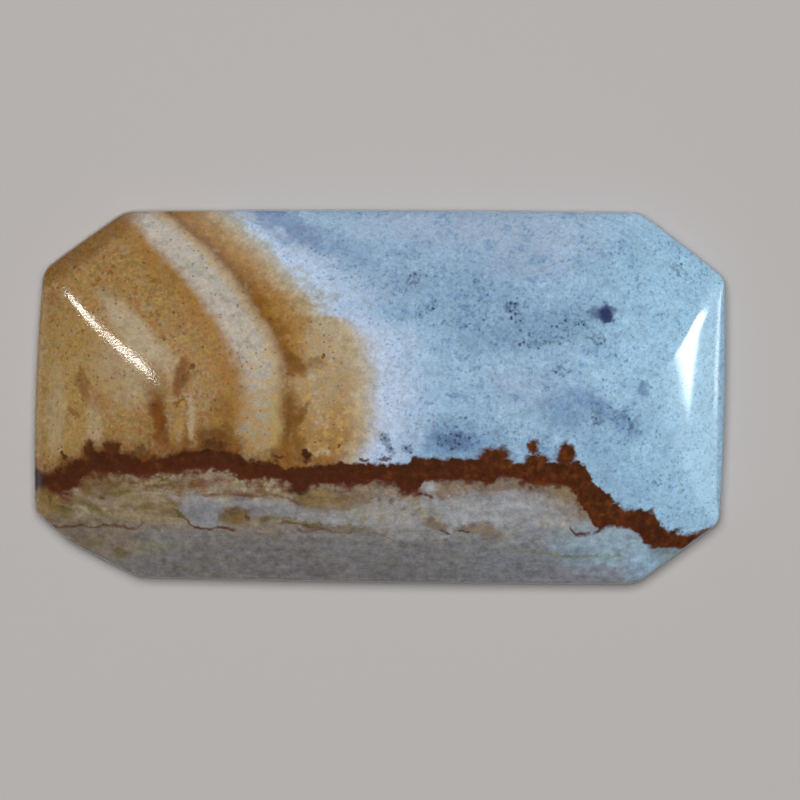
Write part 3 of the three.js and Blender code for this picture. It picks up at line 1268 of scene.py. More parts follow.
FOOT_BLOTS = (
    Blot(Pigment.BRONZE, Patch(-16.4, -5.2, 1.9, 0.6, 0.5, -14, 1.4)),
    Blot(Pigment.KHAKI, Patch(-19.95, -6.4, 0.8, 1.0, 0.8, 0, 1.2)),
    Blot(Pigment.KHAKI, Patch(-14.1, -6.7, 1.8, 0.6, 0.4, 0, 1.6)),
    Blot(Pigment.BRONZE, Patch(-3.2, -6.1, 1.3, 0.45, 0.4, -6, 1.6)),
    Blot(Pigment.UMBER, Patch(-19.6, -6.0, 0.09, 0.35, 0.6)),
    Blot(Pigment.UMBER, Patch(-16.5, -6.05, 0.16, 0.13, 0.7)),
    Blot(Pigment.OLIVE, Patch(-15.6, -5.75, 0.8, 0.12, 0.6, 8)),
    Blot(Pigment.OLIVE, Patch(-18.65, -7.0, 0.36, 0.42, 0.8, 0, 1.2)),
    Blot(Pigment.OLIVE, Patch(-17.0, -6.75, 0.95, 0.22, 0.7, -30, 1.2)),
    Blot(Pigment.TAUPE, Patch(-17.2, -8.3, 3.0, 1.0, 0.7, -10, 1.2)),
    Blot(Pigment.OLIVE, Patch(-17.4, -8.6, 0.9, 0.35, 0.35, 0, 1.2)),
    Blot(Pigment.OLIVE, Patch(-15.5, -9.25, 0.4, 0.26, 0.7, -30, 1.0)),
    Blot(Pigment.MOSS, Patch(-13.4, -8.9, 1.2, 0.3, 0.45, 8, 1.2)),
    Blot(Pigment.LENS, Patch(-10.5, -6.8, 1.25, 0.95, 0.9, -25, 0.9)),
    Blot(Pigment.LENS, Patch(-6.1, -6.75, 3.0, 0.5, 0.8, -7, 1.0)),
    Blot(Pigment.OLIVE, Patch(-11.9, -7.0, 0.6, 0.11, 0.8, -44)),
    Blot(Pigment.SIENNA, Patch(-11.45, -7.45, 0.24, 0.12, 0.7, -44)),
    Blot(Pigment.SIENNA, Patch(-10.8, -5.3, 0.5, 0.3, 0.5, 20, 1.2)),
    Blot(Pigment.MAUVE, Patch(-10.0, -5.1, 0.8, 0.3, 0.6)),
    Blot(Pigment.MILK, Patch(-10.1, -4.7, 1.1, 0.16, 0.7, 0, 1.2)),
    Blot(Pigment.MILK, Patch(-9.1, -5.3, 0.9, 0.26, 0.8)),
    Blot(Pigment.OLIVE, Patch(-8.6, -7.1, 0.85, 0.44, 0.5, 8, 1.2)),
    Blot(Pigment.BRONZE, Patch(-8.6, -7.05, 0.7, 0.34, 0.7, 8, 1.4)),
    Blot(Pigment.UMBER, Patch(-7.85, -7.15, 0.12, 0.2, 0.7)),
    Blot(Pigment.KHAKI, Patch(-3.3, -6.1, 1.4, 0.4, 0.6, -8, 1.2)),
    Blot(Pigment.BRONZE, Patch(-1.5, -6.2, 0.9, 0.35, 0.35, 0, 1.2)),
    Blot(Pigment.PLUM, Patch(-4.55, -5.5, 0.4, 0.3, 0.7)),
    Blot(Pigment.PINK, Patch(-6.95, -8.0, 0.5, 0.1, 0.5)),
    Blot(Pigment.OLIVE, Patch(-6.8, -7.3, 0.4, 0.16, 0.6, 28, 1.4)),
    Blot(Pigment.OLIVE, Patch(-3.65, -7.75, 0.7, 0.24, 0.65, -6, 1.4)),
    Blot(Pigment.UMBER, Patch(-4.9, -7.6, 1.1, 0.1, 0.6, -8)),
    Blot(Pigment.OLIVE, Patch(-2.05, -7.9, 0.5, 0.2, 0.55, 0, 1.4)),
    Blot(Pigment.OLIVE, Patch(-1.2, -7.95, 0.4, 0.18, 0.5, 0, 1.4)),
    Blot(Pigment.MILK, Patch(-1.15, -5.3, 0.28, 0.15, 0.8, 0, 0.8)),
    Blot(Pigment.CHALK, Patch(2.85, -5.3, 0.5, 0.3, 0.7, 0, 1.0)),
    Blot(Pigment.CHALK, Patch(7.8, -6.7, 2.6, 0.8, 0.7, 0, 1.4)),
    Blot(Pigment.CHALK, Patch(4.5, -7.35, 0.8, 0.5, 0.8, 0, 1.0)),
    Blot(Pigment.BRONZE, Patch(3.3, -7.6, 0.6, 0.24, 0.6, -25, 1.8)),
    Blot(Pigment.BRONZE, Patch(5.6, -7.8, 0.7, 0.26, 0.6, 12, 1.8)),
    Blot(Pigment.BRONZE, Patch(6.65, -8.15, 0.45, 0.34, 0.55, 0, 1.8)),
    Blot(Pigment.OLIVE, Patch(3.9, -8.5, 0.14, 0.14, 0.6)),
    Blot(Pigment.SLATE, Patch(2.75, -9.5, 0.14, 0.12, 0.6)),
    Blot(Pigment.KHAKI, Patch(11.5, -6.6, 1.2, 1.4, 0.4, 0, 1.6)),
    Blot(Pigment.CHALK, Patch(10.5, -7.15, 0.4, 0.34, 0.6, 0, 1.4)),
    Blot(Pigment.OLIVE, Patch(11.5, -8.15, 0.4, 0.3, 0.4, 0, 1.4)),
    Blot(Pigment.SEAFOAM, Patch(15.2, -9.2, 3.6, 1.5, 0.85, -6, 1.4)),
    Blot(Pigment.LAVENDER, Patch(13.4, -10.6, 3.0, 0.5, 0.6, 4, 1.4)),
    Blot(Pigment.SKY, Patch(16.4, -9.8, 1.5, 0.8, 0.6, 30, 1.4)),
    Blot(Pigment.MOSS, Patch(17.6, -9.2, 1.0, 0.4, 0.4, 20, 1.2)),
)
FOOT_VEINS = (
    Vein(
        Pigment.UMBER, 0.12, 0.7,
        (
            (-20.2, -7.5), (-19.2, -7.78), (-18.5, -7.8), (-17.8, -7.7), (-16.4, -7.7),
            (-15.3, -7.72), (-14.8, -7.86), (-14.1, -7.5),
        ),
    ),
    Vein(
        Pigment.RUST_RED, 0.13, 0.85,
        (
            (-11.3, -7.6), (-10.85, -7.83), (-10.2, -7.86), (-9.7, -7.72), (-9.3, -7.77),
            (-8.6, -7.9),
        ),
    ),
    Vein(
        Pigment.MAUVE, 0.14, 0.8,
        ((-10.6, -5.75), (-8.9, -5.85), (-7.5, -5.9), (-6.3, -5.78), (-5.6, -6.0), (-4.6, -6.4)),
    ),
    Vein(Pigment.OLIVE, 0.2, 0.8, ((-6.4, -7.25), (-5.5, -7.35), (-4.7, -7.42), (-3.8, -7.6))),
    Vein(
        Pigment.MAUVE, 0.12, 0.8,
        ((-4.9, -7.95), (-4.2, -8.0), (-3.3, -7.85), (-2.6, -8.08), (-1.6, -8.05)),
    ),
    Vein(Pigment.OLIVE, 0.12, 0.6, ((-0.8, -8.05), (-0.3, -8.15), (0.5, -8.35), (1.4, -8.95))),
    Vein(Pigment.PLUM, 0.09, 0.8, ((3.6, -7.95), (4.2, -8.04), (5.3, -8.05))),
    Vein(Pigment.RUST_RED, 0.16, 0.9, ((1.5, -5.5), (2.4, -5.8), (3.25, -5.97))),
    Vein(Pigment.RUST_RED, 0.18, 0.9, ((11.3, -7.7), (11.9, -8.2), (12.5, -8.15), (13.3, -7.85))),
    Vein(Pigment.MOSS, 0.16, 0.7, ((7.5, -8.9), (8.6, -9.2), (9.8, -9.3), (10.6, -9.6))),
    Vein(Pigment.MOSS, 0.16, 0.7, ((10.4, -9.3), (11.6, -9.5), (13.4, -9.4), (14.4, -9.5))),
)
FOOT_SEAMS = (Seam(-0.3, 0.13, 0.8), Seam(-0.8, 0.1, 0.6))


@dataclass(frozen=True)
class Spot:
    """A spot on the picture as seen from above, pushed about so that edges there are ragged."""

    x: Value
    y: Value
    plain: Field
    squares: Field

    def inside(self, patch: Patch) -> Value:
        """Draws the mask of a patch.

        Args:
            patch: The patch.

        Returns:
            Its mask.
        """
        cos, sin = math.cos(math.radians(patch.tilt)), math.sin(math.radians(patch.tilt))
        first, second = patch.across**-2, patch.up**-2
        xx = cos * cos * first + sin * sin * second
        xy = cos * sin * (first - second)
        yy = sin * sin * first + cos * cos * second
        to_x = xx * patch.x + xy * patch.y
        to_y = xy * patch.x + yy * patch.y
        centre = to_x * patch.x + to_y * patch.y
        away = self.squares.weighed(xx, 2 * xy, yy) + self.plain.weighed(-2 * to_x, -2 * to_y, centre)
        outer, inner = (1 + patch.softness / 2) ** 2, (1 - patch.softness / 2) ** 2
        return away.step(outer, inner, patch.strength)

    def among(self, patches: Sequence[Patch], least: Value | float = 0.0) -> Value:
        """Draws the mask of several patches together.

        Args:
            patches: The patches.
            least: What the mask is at least, everywhere.

        Returns:
            The mask.
        """
        mask = least
        for patch in patches:
            mask = self.inside(patch).at_least(mask)
        return mask

    def blots(self, tint: Tint, blots: Sequence[Blot]) -> Tint:
        """Draws blots over a tint.

        Args:
            tint: The tint.
            blots: The blots, each over those before it.

        Returns:
            The tint with the blots on it.
        """
        for blot in blots:
            tint = tint.mixed(blot.pigment, self.inside(blot.patch))
        return tint

    def on(self, vein: Vein, whole: Value) -> Value:
        """Draws the mask of a vein.

        Args:
            vein: The vein.
            whole: A mask of where veins aren't broken.

        Returns:
            Its mask.
        """
        off = abs(self.y - self.x.curve(vein.points))
        line = off.step(vein.width, vein.width * vein.core, vein.strength)
        return line * self.x.between(vein.points[0][0], vein.points[-1][0], vein.ends) * whole


@dataclass(frozen=True)
class PictureJasper:
    """The stone's finish: its picture, right through the stone, and how it is polished.

    The picture is that of the dome. Below the girdle's top it leans, so that the girdle and
    the back show the same layers cut deeper.
    """

    girdle_top: float = 1.7
    lean_along: float = 1.3
    lean_across: float = -0.8
    ior: float = 1.54
    polish: float = 0.11
    satin: float = 0.42
    back_depth: float = 0.04
    relief_strength: float = 0.35
    relief_depth: float = 0.02 * MM
    speck_shake: float = 0.05

    def dress(self, stone: bpy.types.Object) -> bpy.types.Material:
        """Makes the material and gives it to the stone.

        Args:
            stone: The stone's object.

        Returns:
            The material.
        """
        material = bpy.data.materials.new("picture_jasper")
        material.use_nodes = True
        sheet = Sheet(material.node_tree)
        picture = Picture(sheet, self)
        back = picture.height.step(self.back_depth, 0.0)
        roughness = picture.dullness() + back.mapped(0.0, 1.0, self.polish, self.satin)
        bump = sheet.node(
            "ShaderNodeBump",
            None,
            {
                "Strength": self.relief_strength,
                "Distance": self.relief_depth,
                "Height": picture.relief(back),
            },
        )
        shader = sheet.node(
            "ShaderNodeBsdfPrincipled",
            None,
            {
                "Base Color": picture.colour(),
                "Roughness": roughness,
                "IOR": self.ior,
                "Normal": Field(sheet, bump.outputs[0]),
            },
        )
        sheet.finish("ShaderNodeOutputMaterial", shader)
        stone.data.materials.clear()
        stone.data.materials.append(material)
        return material


class Picture:
    """The jasper's picture as colours over places in the stone."""

    def __init__(self, sheet: Sheet, finish: PictureJasper) -> None:
        """Finds the places and the noises that every layer of the picture is drawn by.

        Args:
            sheet: The sheet to write on.
            finish: The finish's own numbers.
        """
        self.sheet = sheet
        node = sheet.node("ShaderNodeTexCoord")
        place = Field(sheet, node.outputs["Object"]).scaled((1 / MM,) * 3, (0.0,) * 3)
        x, y, self.height = place.parts()
        depth = (finish.girdle_top - self.height).at_least(0.0)
        self.x = x.plus(depth, finish.lean_along)
        self.y = y.plus(depth, finish.lean_across)
        self.place = sheet.join(self.x, self.y, self.height)
        clouds = self.place.noise(CLOUDS).parts()
        self.lumps = self.place.noise(LUMPS).parts()
        self.crumbs = self.place.noise(CRUMBS).parts()
        grains = self.place.noise(GRAINS)
        self.grain = grains.weighed(1.0, 0.0, 0.0)
        self.tones = [sheet.join(*scales) for scales in zip(clouds, self.lumps, self.crumbs)]
        shaken = self.place.plus(grains, (finish.speck_shake,) * 3)
        self.fine_specks = shaken.specks(FINE_SPECKS)
        self.bold_specks = shaken.specks(BOLD_SPECKS)

    def ragged(self, lump: float, crumb: float) -> Spot:
        """The spot that a place is drawn from, pushed about so that edges are ragged.

        Args:
            lump: How far the lumps push it, in millimetres.
            crumb: How far the crumbs push it.

        Returns:
            The spot.
        """
        x = self.x.plus(self.lumps[0], lump).plus(self.crumbs[0], crumb)
        y = self.y.plus(self.lumps[1], lump).plus(self.crumbs[1], crumb)
        return Spot(x, y, self.sheet.join(x, y, 1.0), self.sheet.join(x * x, x * y, y * y))

    def tone(self, which: int, broad: float, middle: float, fine: float) -> Value:
        """A mixture of the noises at three scales, around 0.

        Args:
            which: Which of the three sets of noises to read.
            broad: The weight of the clouds.
            middle: The weight of the lumps.
            fine: The weight of the crumbs.

        Returns:
            The mixture.
        """
        return self.tones[which].weighed(broad, middle, fine)

    def mottled(self, tint: Tint, mottles: Sequence[Mottle]) -> Tint:
        """Draws mottles over a tint.

        Args:
            tint: The tint.
            mottles: The mottles, each over those before it.

        Returns:
            The tint with the mottles on it.
        """
        for mottle in mottles:
            mask = self.tone(*mottle.tone).step(mottle.low, mottle.high, mottle.strength)
            tint = tint.mixed(mottle.pigment, mask)
        return tint

    def colour(self) -> Tint:
        """Puts the whole picture together.

        Returns:
            The stone's colour.
        """
        spot = self.ragged(0.2, 0.22)
        over_top = spot.y - spot.x.curve(HORIZON_TOP)
        over_foot = spot.y - spot.x.curve(HORIZON_FOOT)
        tint = self.land_and_sky(over_top)
        tint = tint.mixed(self.foot(over_foot), over_foot.step(0.5, 0.3))
        sharpness = self.x.mapped(-14.0, -5.0, 0.4, 0.85)
        band = (over_foot * sharpness).step(-0.12, 0.12) * (over_top * sharpness).step(0.12, -0.12)
        band = self.ragged(0.17, 0.28).among(HORIZON_TUFTS, band)
        tint = tint.mixed(self.rust(over_foot), band)
        return tint.shaded(self.tone(1, 0.0, 0.12, 0.28).plus(self.grain, 0.18) + 1.0)

    def land_and_sky(self, over_top: Value) -> Tint:
        """Draws what lies above the horizon: the tan land, its bands and the sky.

        Args:
            over_top: How far above the horizon's upper edge a place lies, in millimetres.

        Returns:
            The colour there.
        """
        spot = self.ragged(0.26, 0.12)
        past_tan = spot.x - spot.y.curve(TAN_EDGE)
        past_start = spot.x - spot.y.curve(BAND_START)
        past_core = spot.x - spot.y.curve(BAND_CORE_END)
        past_end = spot.x - spot.y.curve(BAND_END)
        tint = self.tan(past_tan)
        tint = tint.mixed(self.pale(), past_tan.step(-0.6, 0.6))
        tint = tint.mixed(Pigment.STRAW, past_start.between(-0.6, 0.1, 0.4) * 0.6)
        tint = tint.mixed(self.band(past_start, past_core), past_start.step(-0.45, 0.4))
        tint = self.ragged(0.28, 0.16).blots(tint, LAND_BLOTS)
        stain = over_top.plus(self.tone(0, 0.3, 0.6, 0.4), 1.2)
        tint = tint.mixed(Pigment.SIENNA, stain.step(1.2, -0.2, 0.75))
        density = self.tone(2, 0.2, 0.3, 0.0) + self.y.mapped(-3.0, 7.0, 0.24, 0.34)
        tint = tint.mixed(Pigment.SPECK, self.fine_specks.dots(density, 0.34) * 0.6)
        tint = tint.mixed(Pigment.SPECK, self.bold_specks.dots(density, 0.22) * 0.85)
        tint = tint.mixed(Pigment.CREAM, past_end.step(-1.9, -0.3) * self.y.mapped(8.0, 3.0, 0.7, 0.85))
        return tint.mixed(self.sky(past_end), past_end.step(-0.8, 0.8))

    def tan(self, past_tan: Value) -> Tint:
        """Draws the mottled tan at the left, deeper towards its right edge.

        Args:
            past_tan: How far right of the tan's edge a place lies, in millimetres.

        Returns:
            The colour there.
        """
        drips = self.place.noise(DRIPS).parts()
        low = self.y.step(4.5, -1.0)
        tint = self.mottled(self.sheet.paint(Pigment.OCHRE), TAN_MOTTLES)
        tint = tint.mixed(Pigment.CREAM, drips[0].step(0.1, 0.8, 0.5) * low)
        tint = tint.mixed(Pigment.OCHRE_BROWN, drips[1].step(0.15, 0.8, 0.5) * low)
        margin = past_tan.plus(self.tone(1, 0.3, 0.3, 0.0), 0.8).step(-2.4, -0.5, 0.6)
        return tint.mixed(Pigment.OCHRE_DEEP, margin)

    def pale(self) -> Tint:
        """Draws the pale band, pinkish above and creamier below.

        Returns:
            Its colour.
        """
        tint = self.sheet.paint(Pigment.PALE)
        creamy = (self.y * -0.15).plus(self.tone(1, 0.2, 0.5, 0.6), 1.0)
        tint = tint.mixed(Pigment.CREAM, creamy.step(-0.6, 0.5))
        tint = tint.mixed(Pigment.BUFF, creamy.step(-0.3, 0.6, 0.9))
        tint = tint.mixed(Pigment.OCHRE, creamy.step(-0.1, 0.9, 0.75))
        return self.mottled(tint, PALE_MOTTLES)

    def band(self, past_start: Value, past_core: Value) -> Tint:
        """Draws the second ochre band, with a darker core and buff to its right below.

        Args:
            past_start: How far right of the band's left edge a place lies, in millimetres.
            past_core: How far right of its darker core.

        Returns:
            The colour there.
        """
        core = self.sheet.paint(Pigment.OCHRE)
        deep = past_start.plus(self.tone(0, 0.4, 0.4, 0.3), -0.8)
        core = core.mixed(Pigment.OCHRE_DEEP, deep.step(2.6, 0.4))
        core = core.mixed(Pigment.OCHRE_BROWN, deep.step(1.4, 0.3, 0.7))
        core = self.mottled(core, BAND_CORE_MOTTLES)
        buff = self.sheet.paint(Pigment.BUFF)
        ochre = (self.y * -0.16).plus(self.tone(1, 0.4, 0.5, 0.3), 1.0)
        buff = buff.mixed(Pigment.OCHRE, ochre.step(-0.5, 0.6, 0.9))
        buff = buff.mixed(Pigment.CREAM, ochre.step(-0.1, -0.9, 0.9))
        buff = buff.mixed(Pigment.OCHRE_DEEP, ochre.step(-0.1, 1.0, 0.45))
        buff = self.mottled(buff, BAND_BUFF_MOTTLES)
        return core.mixed(buff, past_core.step(-0.5, 0.7))

    def sky(self, past_end: Value) -> Tint:
        """Draws the sky, white and lilac next to the land and blue beyond it, and lighter and cyan
        towards the right end, where window light is painted in.

        Args:
            past_end: How far right of the land a place lies, in millimetres.

        Returns:
            The colour there.
        """
        tint = self.sheet.paint(Pigment.SKY)
        tint = tint.mixed(Pigment.SKY_PALE, self.tone(0, 0.5, 0.8, 0.9).step(-0.2, 0.8, 0.9))
        tint = self.ragged(0.5, 0.2).blots(tint, SKY_BLOTS)
        tint = tint.mixed(Pigment.SKY_DEEP, self.tone(1, 0.4, 1.0, 1.1).step(0.0, 1.0, 1.0))
        # Painted light: the sky turns lighter and cyan towards the right end, in place of window light
        # from that side.
        bright = self.x.plus(self.tone(0, 0.6, 0.5, 0.4), 3.0)
        tint = tint.mixed(Pigment.SKY_PAINTED_WINDOW_LIGHT, bright.step(8.0, 21.0, 0.6))
        lilac = past_end.plus(self.tone(2, 0.7, 1.1, 0.5), 1.2)
        tint = tint.mixed(Pigment.LILAC, (lilac * self.y.curve(LILAC_SPREAD)).step(3.4, 0.6, 0.9))
        misty = past_end.plus(self.tone(1, 0.7, 1.1, 0.5), 0.9)
        tint = tint.mixed(Pigment.MIST, misty.step(1.9, 0.2) * self.y.mapped(9.0, 4.0, 0.65, 0.75))
        tint = tint.mixed(Pigment.SAGE, misty.step(1.5, -0.1, 0.62) * self.y.step(4.0, 6.5))
        spot = self.ragged(0.22, 0.11)
        crowd = spot.among(SPECKLED_SKY, self.x.mapped(-2.0, 3.0, 0.12, 0.24))
        freckles = self.place.noise(FRECKLES).weighed(1.0, 0.5, 0.0)
        curdled = freckles.plus(crowd, 0.7).plus(self.tone(1, 0.2, 0.6, 0.5), 0.7)
        tint = tint.mixed(Pigment.PEPPER, curdled.step(0.2, 1.5, 0.8))
        density = crowd.plus(self.tone(1, 0.1, 0.4, 0.3), 0.8)
        tint = tint.mixed(Pigment.PEPPER, self.fine_specks.dots(density - 0.04, 0.44) * 0.45)
        tint = tint.mixed(Pigment.FLECK, self.fine_specks.dots(density - 0.38, 0.46) * 0.7)
        tint = tint.mixed(Pigment.FLECK, self.bold_specks.dots(density - 0.22, 0.26) * 0.7)
        cluster = spot.among(SPECK_CLUSTERS)
        tint = tint.mixed(Pigment.FLECK, (cluster + freckles * 0.6).step(0.2, 1.1, 0.6))
        tint = tint.mixed(Pigment.INK, self.fine_specks.dots(cluster - 0.16, 0.46) * 0.7)
        return self.ragged(0.08, 0.26).blots(tint, INK_SPOTS)

    def rust(self, over_foot: Value) -> Tint:
        """Draws the rust of the horizon, plum at its left end and brighter at its right.

        Args:
            over_foot: How far above the horizon's lower edge a place lies, in millimetres.

        Returns:
            The colour there.
        """
        tint = self.sheet.paint(Pigment.RUST)
        tint = tint.mixed(Pigment.RUST_DARK, self.tone(0, 0.2, 0.7, 0.9).step(0.0, 0.9, 0.6))
        bright = self.x.mapped(-6.0, 12.0, -0.2, 0.4).plus(self.tone(1, 0.2, 0.6, 0.9), 1.0)
        tint = tint.mixed(Pigment.RUST_BRIGHT, bright.step(0.0, 1.3, 0.85))
        red = over_foot.plus(self.tone(2, 0.2, 0.5, 0.4), 0.5)
        tint = tint.mixed(Pigment.RUST_RED, red.step(0.7, 0.1, 0.4))
        end = self.x.plus(self.tone(2, 0.5, 0.6, 0.0), 0.4)
        return tint.mixed(Pigment.PLUM, end.step(-19.8, -20.6))

    def foot(self, over_foot: Value) -> Tint:
        """Draws what lies under the horizon: ochre and milk, and grey below them that is partly painted
        shade of the lower slope.

        Args:
            over_foot: How far above the horizon's lower edge a place lies, in millimetres.

        Returns:
            The colour there.
        """
        folds = self.place.noise(FOLDS).parts()
        layers = self.place.noise(LAYERS).parts()
        below = over_foot.plus(folds[0], 0.5)
        west = self.x.step(1.0, -8.0)
        tint = self.sheet.paint(Pigment.ASH)
        tint = tint.mixed(Pigment.CHALK, self.tone(0, 0.4, 0.9, 0.5).step(-0.6, 0.6, 0.8))
        milky = west.plus(self.tone(2, 0.4, 0.8, 0.6), 1.0)
        tint = tint.mixed(Pigment.MILK, milky.step(0.1, 0.9, 0.95))
        tint = tint.mixed(Pigment.TAUPE, folds[1].step(0.0, 0.8, 0.8) * west.mapped(0.0, 1.0, 0.3, 1.0))
        ochre = below.plus(west, 0.6)
        tint = tint.mixed(Pigment.KHAKI, ochre.step(-1.1, 0.3, 0.65))
        brown = ochre.plus(self.tone(1, 0.0, 0.8, 0.9), 0.8)
        tint = tint.mixed(Pigment.BRONZE, brown.step(-0.5, 0.6, 0.8))
        # Grey towards the bottom edge: partly the stone's own grey layer, partly painted shade of the
        # lower slope, which turns away from the light.
        deep = self.y.plus(folds[1], 0.45).plus(self.x.at_least(-3.0), 0.09)
        tint = tint.mixed(Pigment.SLATE, deep.step(-7.4, -8.9, 0.9))
        tint = tint.mixed(Pigment.STEEL, self.x.step(0.0, 12.0, 0.6))
        under = deep.step(-6.9, -7.8)
        tint = tint.mixed(Pigment.LAVENDER, layers[0].step(0.0, 0.8, 0.5) * under)
        tint = tint.mixed(Pigment.MOSS, layers[2].step(0.2, 1.0, 0.4) * under)
        tint = tint.mixed(Pigment.TAUPE, folds[0].step(0.1, 0.8, 0.5) * under * west)
        tint = tint.mixed(Pigment.OLIVE, abs(layers[1]).step(0.12, 0.0, 0.25) * under)
        for seam in FOOT_SEAMS:
            line = abs(below - seam.height).step(seam.width, seam.width * seam.core, seam.strength)
            tint = tint.mixed(Pigment.MAUVE, line * west.mapped(0.0, 1.0, 0.4, 1.0))
        above = (1.0 - under) * west.mapped(0.0, 1.0, 0.7, 1.0)
        tint = tint.mixed(Pigment.BRONZE, layers[0].step(-0.1, 0.8, 0.75) * above * west)
        tint = tint.mixed(Pigment.OLIVE, (layers[1] + folds[2]).step(0.0, 1.1, 0.7) * above * west)
        tint = tint.mixed(Pigment.CREAM, layers[2].step(0.0, 0.8, 0.6) * above)
        tint = tint.mixed(Pigment.SAGE, self.tone(0, 0.0, -0.9, -0.6).step(-0.1, 0.7, 0.6) * above)
        tint = tint.mixed(Pigment.PINK, self.tone(1, 0.0, -0.9, -0.9).step(0.0, 0.8, 0.5) * above)
        net = abs(self.tone(1, 0.0, 0.9, 0.45)).step(0.16, 0.0, 0.8)
        tint = tint.mixed(Pigment.MAUVE, net * below.step(-1.2, -0.1))
        lump = self.tone(2, 0.0, 0.7, 0.6).step(0.2, 0.7, 0.7)
        tint = tint.mixed(Pigment.PINK, lump * below.step(-1.0, -0.4))
        crust = below.plus(self.tone(2, 0.0, -0.6, -1.4), 0.9)
        tint = tint.mixed(Pigment.TAUPE, crust.step(-1.2, -0.3, 0.8) * (1.0 - west))
        fringe = over_foot.plus(self.tone(0, 0.0, 0.5, 0.6), 0.9)
        tint = tint.mixed(Pigment.RUST_RED, fringe.step(-0.4, 0.25, 0.75))
        tint = self.ragged(0.24, 0.16).blots(tint, FOOT_BLOTS)
        spot = self.ragged(0.14, 0.08)
        whole = self.tone(2, 0.0, 0.8, 0.4).step(0.5, -0.1)
        for vein in FOOT_VEINS:
            tint = tint.mixed(vein.pigment, spot.on(vein, whole))
        tint = tint.mixed(Pigment.UMBER, self.fine_specks.dots(0.12, 0.36) * 0.35)
        streaks = layers[0].plus(folds[2], 1.0).plus(self.tone(0, 0.0, 1.2, 1.6), 1.0)
        return tint.shaded(streaks * -0.14 + 1.0)

    def dullness(self) -> Value:
        """How much duller than polished the surface is here and there."""
        return self.tone(0, 1.0, 0.0, 0.0).step(0.1, 1.0, 0.03)

    def relief(self, back: Value) -> Value:
        """The finest relief: faint pits in the polish, and lapping marks on the back.

        Args:
            back: A mask of the back.

        Returns:
            The height, in shares of the bump's distance.
        """
        marks = self.place.noise(LAPPING_MARKS).weighed(1.0, 0.0, 0.0)
        pits = self.place.noise(POLISHED_PITS).weighed(1.0, 0.0, 0.0)
        return pits * (1.0 - back) * self.x.mapped(-4.0, -12.0, 0.06, 0.32) + marks * back


# The surroundings


@dataclass(frozen=True)
class Glow:
    """A soft patch of brightness on the room's walls, fading towards its rim."""

    compass: float
    from_zenith: float
    spread: float
    strength: float
    colour: tuple[float, float, float] = (1.0, 1.0, 1.0)

    @property
    def light(self) -> Colour:
        """The light at its middle."""
        red, green, blue = (channel * self.strength for channel in self.colour)
        return red, green, blue, 1.0


def direction(compass: float, from_zenith: float) -> Vector:
    """Works out the way from the stone to something.

    Args:
        compass: Its bearing from +X towards +Y, in degrees.
        from_zenith: Its angle from straight up, in degrees.

    Returns:
        The way, one unit long.
    """
    tilt, bearing = math.radians(from_zenith), math.radians(compass)
    level = math.sin(tilt)
    return Vector((level * math.cos(bearing), level * math.sin(bearing), math.cos(tilt)))


class Use(Enum):
    """What a lamp is for, by what it is hidden from."""

    LIGHT = "visible_glossy"
    SHINE = "visible_diffuse"


@dataclass(frozen=True)
class Lamp:
    """A soft light, placed by where it stands round the stone and aimed at it.

    The compass bearing, the angle from the zenith, the turn and the swing sideways are in
    degrees, and the distance and the sides in metres.
    """

    name: str
    use: Use
    compass: float
    from_zenith: float
    distance: float
    width: float
    height: float
    watts: float
    colour: tuple[float, float, float]
    turn: float = 0.0
    swing: float = 0.0

    def place(self) -> None:
        """Makes the light."""
        data = bpy.data.lights.new(self.name, "AREA")
        data.shape = "RECTANGLE"
        data.size = self.width
        data.size_y = self.height
        data.energy = self.watts
        data.color = self.colour
        lamp = bpy.data.objects.new(self.name, data)
        bpy.context.collection.objects.link(lamp)
        way = direction(self.compass, self.from_zenith)
        lamp.location = way * self.distance
        lamp.rotation_mode = "QUATERNION"
        swing = Quaternion((0.0, 1.0, 0.0), math.radians(self.swing))
        spin = Quaternion((0.0, 0.0, 1.0), math.radians(self.turn))
        lamp.rotation_quaternion = way.to_track_quat("Z", "Y") @ swing @ spin
        setattr(lamp, self.use.value, False)


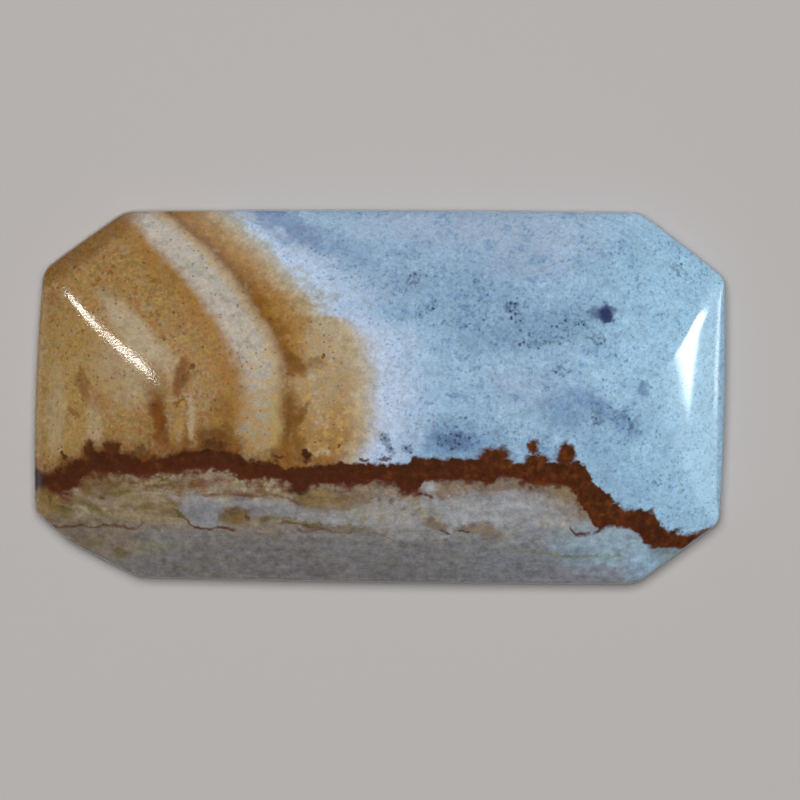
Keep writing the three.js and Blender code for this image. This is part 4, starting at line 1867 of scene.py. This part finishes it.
@dataclass(frozen=True)
class Studio:
    """The pale floor, the soft lights and the camera over the stone, in metres."""

    floor_side: float = 3.0
    floor_colour: tuple[int, int, int] = (187, 184, 183)
    floor_roughness: float = 0.9
    floor_shine: float = 0.1
    camera_height: float = 0.5
    view_width: float = 0.048
    nearest: float = 0.01
    sensor: float = 36.0
    camera_x: float = 0.0012
    camera_y: float = -0.00018
    room: Colour = (0.08, 0.08, 0.08, 1.0)
    glows: tuple[Glow, ...] = (
        Glow(0, 78, 40, 2.8, (0.74, 0.96, 1.0)),
        Glow(90, 72, 40, 1.0, (1.0, 0.99, 0.97)),
        Glow(180, 94, 16, 1.0, (0.88, 0.95, 1.0)),
    )
    lamps: tuple[Lamp, ...] = (
        Lamp("soft_box", Use.LIGHT, 105, 8, 1.2, 0.7, 0.7, 14.7, (1.0, 0.985, 0.975)),
        Lamp("window_shine", Use.SHINE, 5.6, 62.6, 0.6, 0.15, 0.122, 1.18, (0.86, 0.96, 1.0), 52, 31),
        Lamp("low_tube", Use.SHINE, 155.4, 48.5, 0.6, 0.046, 0.14, 0.55, (1.0, 0.97, 0.93), -8),
        Lamp("high_tube", Use.SHINE, 152.9, 31.0, 0.6, 0.044, 0.18, 0.6, (1.0, 0.97, 0.93), 18),
        Lamp("edge_shine", Use.SHINE, 4, 87, 0.6, 0.12, 0.05, 0.13, (0.92, 0.97, 1.0)),
    )

    def build(self) -> None:
        """Makes everything round the stone."""
        self.lay_floor()
        self.light_room()
        for lamp in self.lamps:
            lamp.place()
        self.set_camera()
        bpy.context.scene.view_settings.view_transform = "Standard"

    def lay_floor(self) -> None:
        """Lays the plain pale floor under the stone."""
        half = self.floor_side / 2
        mesh = bpy.data.meshes.new("floor")
        corners = [(-half, -half, 0), (half, -half, 0), (half, half, 0), (-half, half, 0)]
        mesh.from_pydata(corners, [], [(0, 1, 2, 3)])
        floor = bpy.data.objects.new("floor", mesh)
        bpy.context.collection.objects.link(floor)
        material = bpy.data.materials.new("pale_floor")
        material.use_nodes = True
        sheet = Sheet(material.node_tree)
        shader = sheet.node(
            "ShaderNodeBsdfPrincipled",
            None,
            {
                "Base Color": linear(self.floor_colour),
                "Roughness": self.floor_roughness,
                "Specular IOR Level": self.floor_shine,
            },
        )
        sheet.finish("ShaderNodeOutputMaterial", shader)
        mesh.materials.append(material)

    def light_room(self) -> None:
        """Hangs soft glows on dark walls, which only the polish shows; the lamps light the stone."""
        world = bpy.data.worlds.new("room")
        bpy.context.scene.world = world
        world.use_nodes = True
        sheet = Sheet(world.node_tree)
        way = Field(sheet, sheet.node("ShaderNodeTexCoord").outputs["Generated"])
        tint = sheet.paint(self.room)
        for glow in self.glows:
            facing = way.weighed(*direction(glow.compass, glow.from_zenith))
            mask = facing.step(math.cos(math.radians(glow.spread)), 1.0)
            tint = tint.mixed(glow.light, mask, Blend.ADD)
        background = sheet.node("ShaderNodeBackground", None, {"Color": tint})
        sheet.finish("ShaderNodeOutputWorld", background)
        world.cycles_visibility.diffuse = False

    def set_camera(self) -> None:
        """Hangs the camera straight over the stone, with its top to the far side."""
        data = bpy.data.cameras.new("camera")
        data.sensor_width = self.sensor
        data.lens = self.sensor * self.camera_height / self.view_width
        data.clip_start = self.nearest
        camera = bpy.data.objects.new("camera", data)
        bpy.context.collection.objects.link(camera)
        camera.location = (self.camera_x, self.camera_y, self.camera_height)
        bpy.context.scene.camera = camera


def main() -> None:
    """Builds the stone and its surroundings, and says what was made."""
    logging.basicConfig(level=logging.INFO, format="%(name)s: %(message)s")
    low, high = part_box("stone")
    length, width, thickness = ((high - low) / MM)[:]
    Studio().build()
    outline = Outline(length, width)
    stone = Cabochon(outline, Dome(outline, thickness)).build()
    material = PictureJasper().dress(stone)
    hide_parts("stone")
    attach(stone, "root")
    log.info("%s: %d faces in %s", stone.name, len(stone.data.polygons), material.name)


if __name__ == "__main__":
    main()
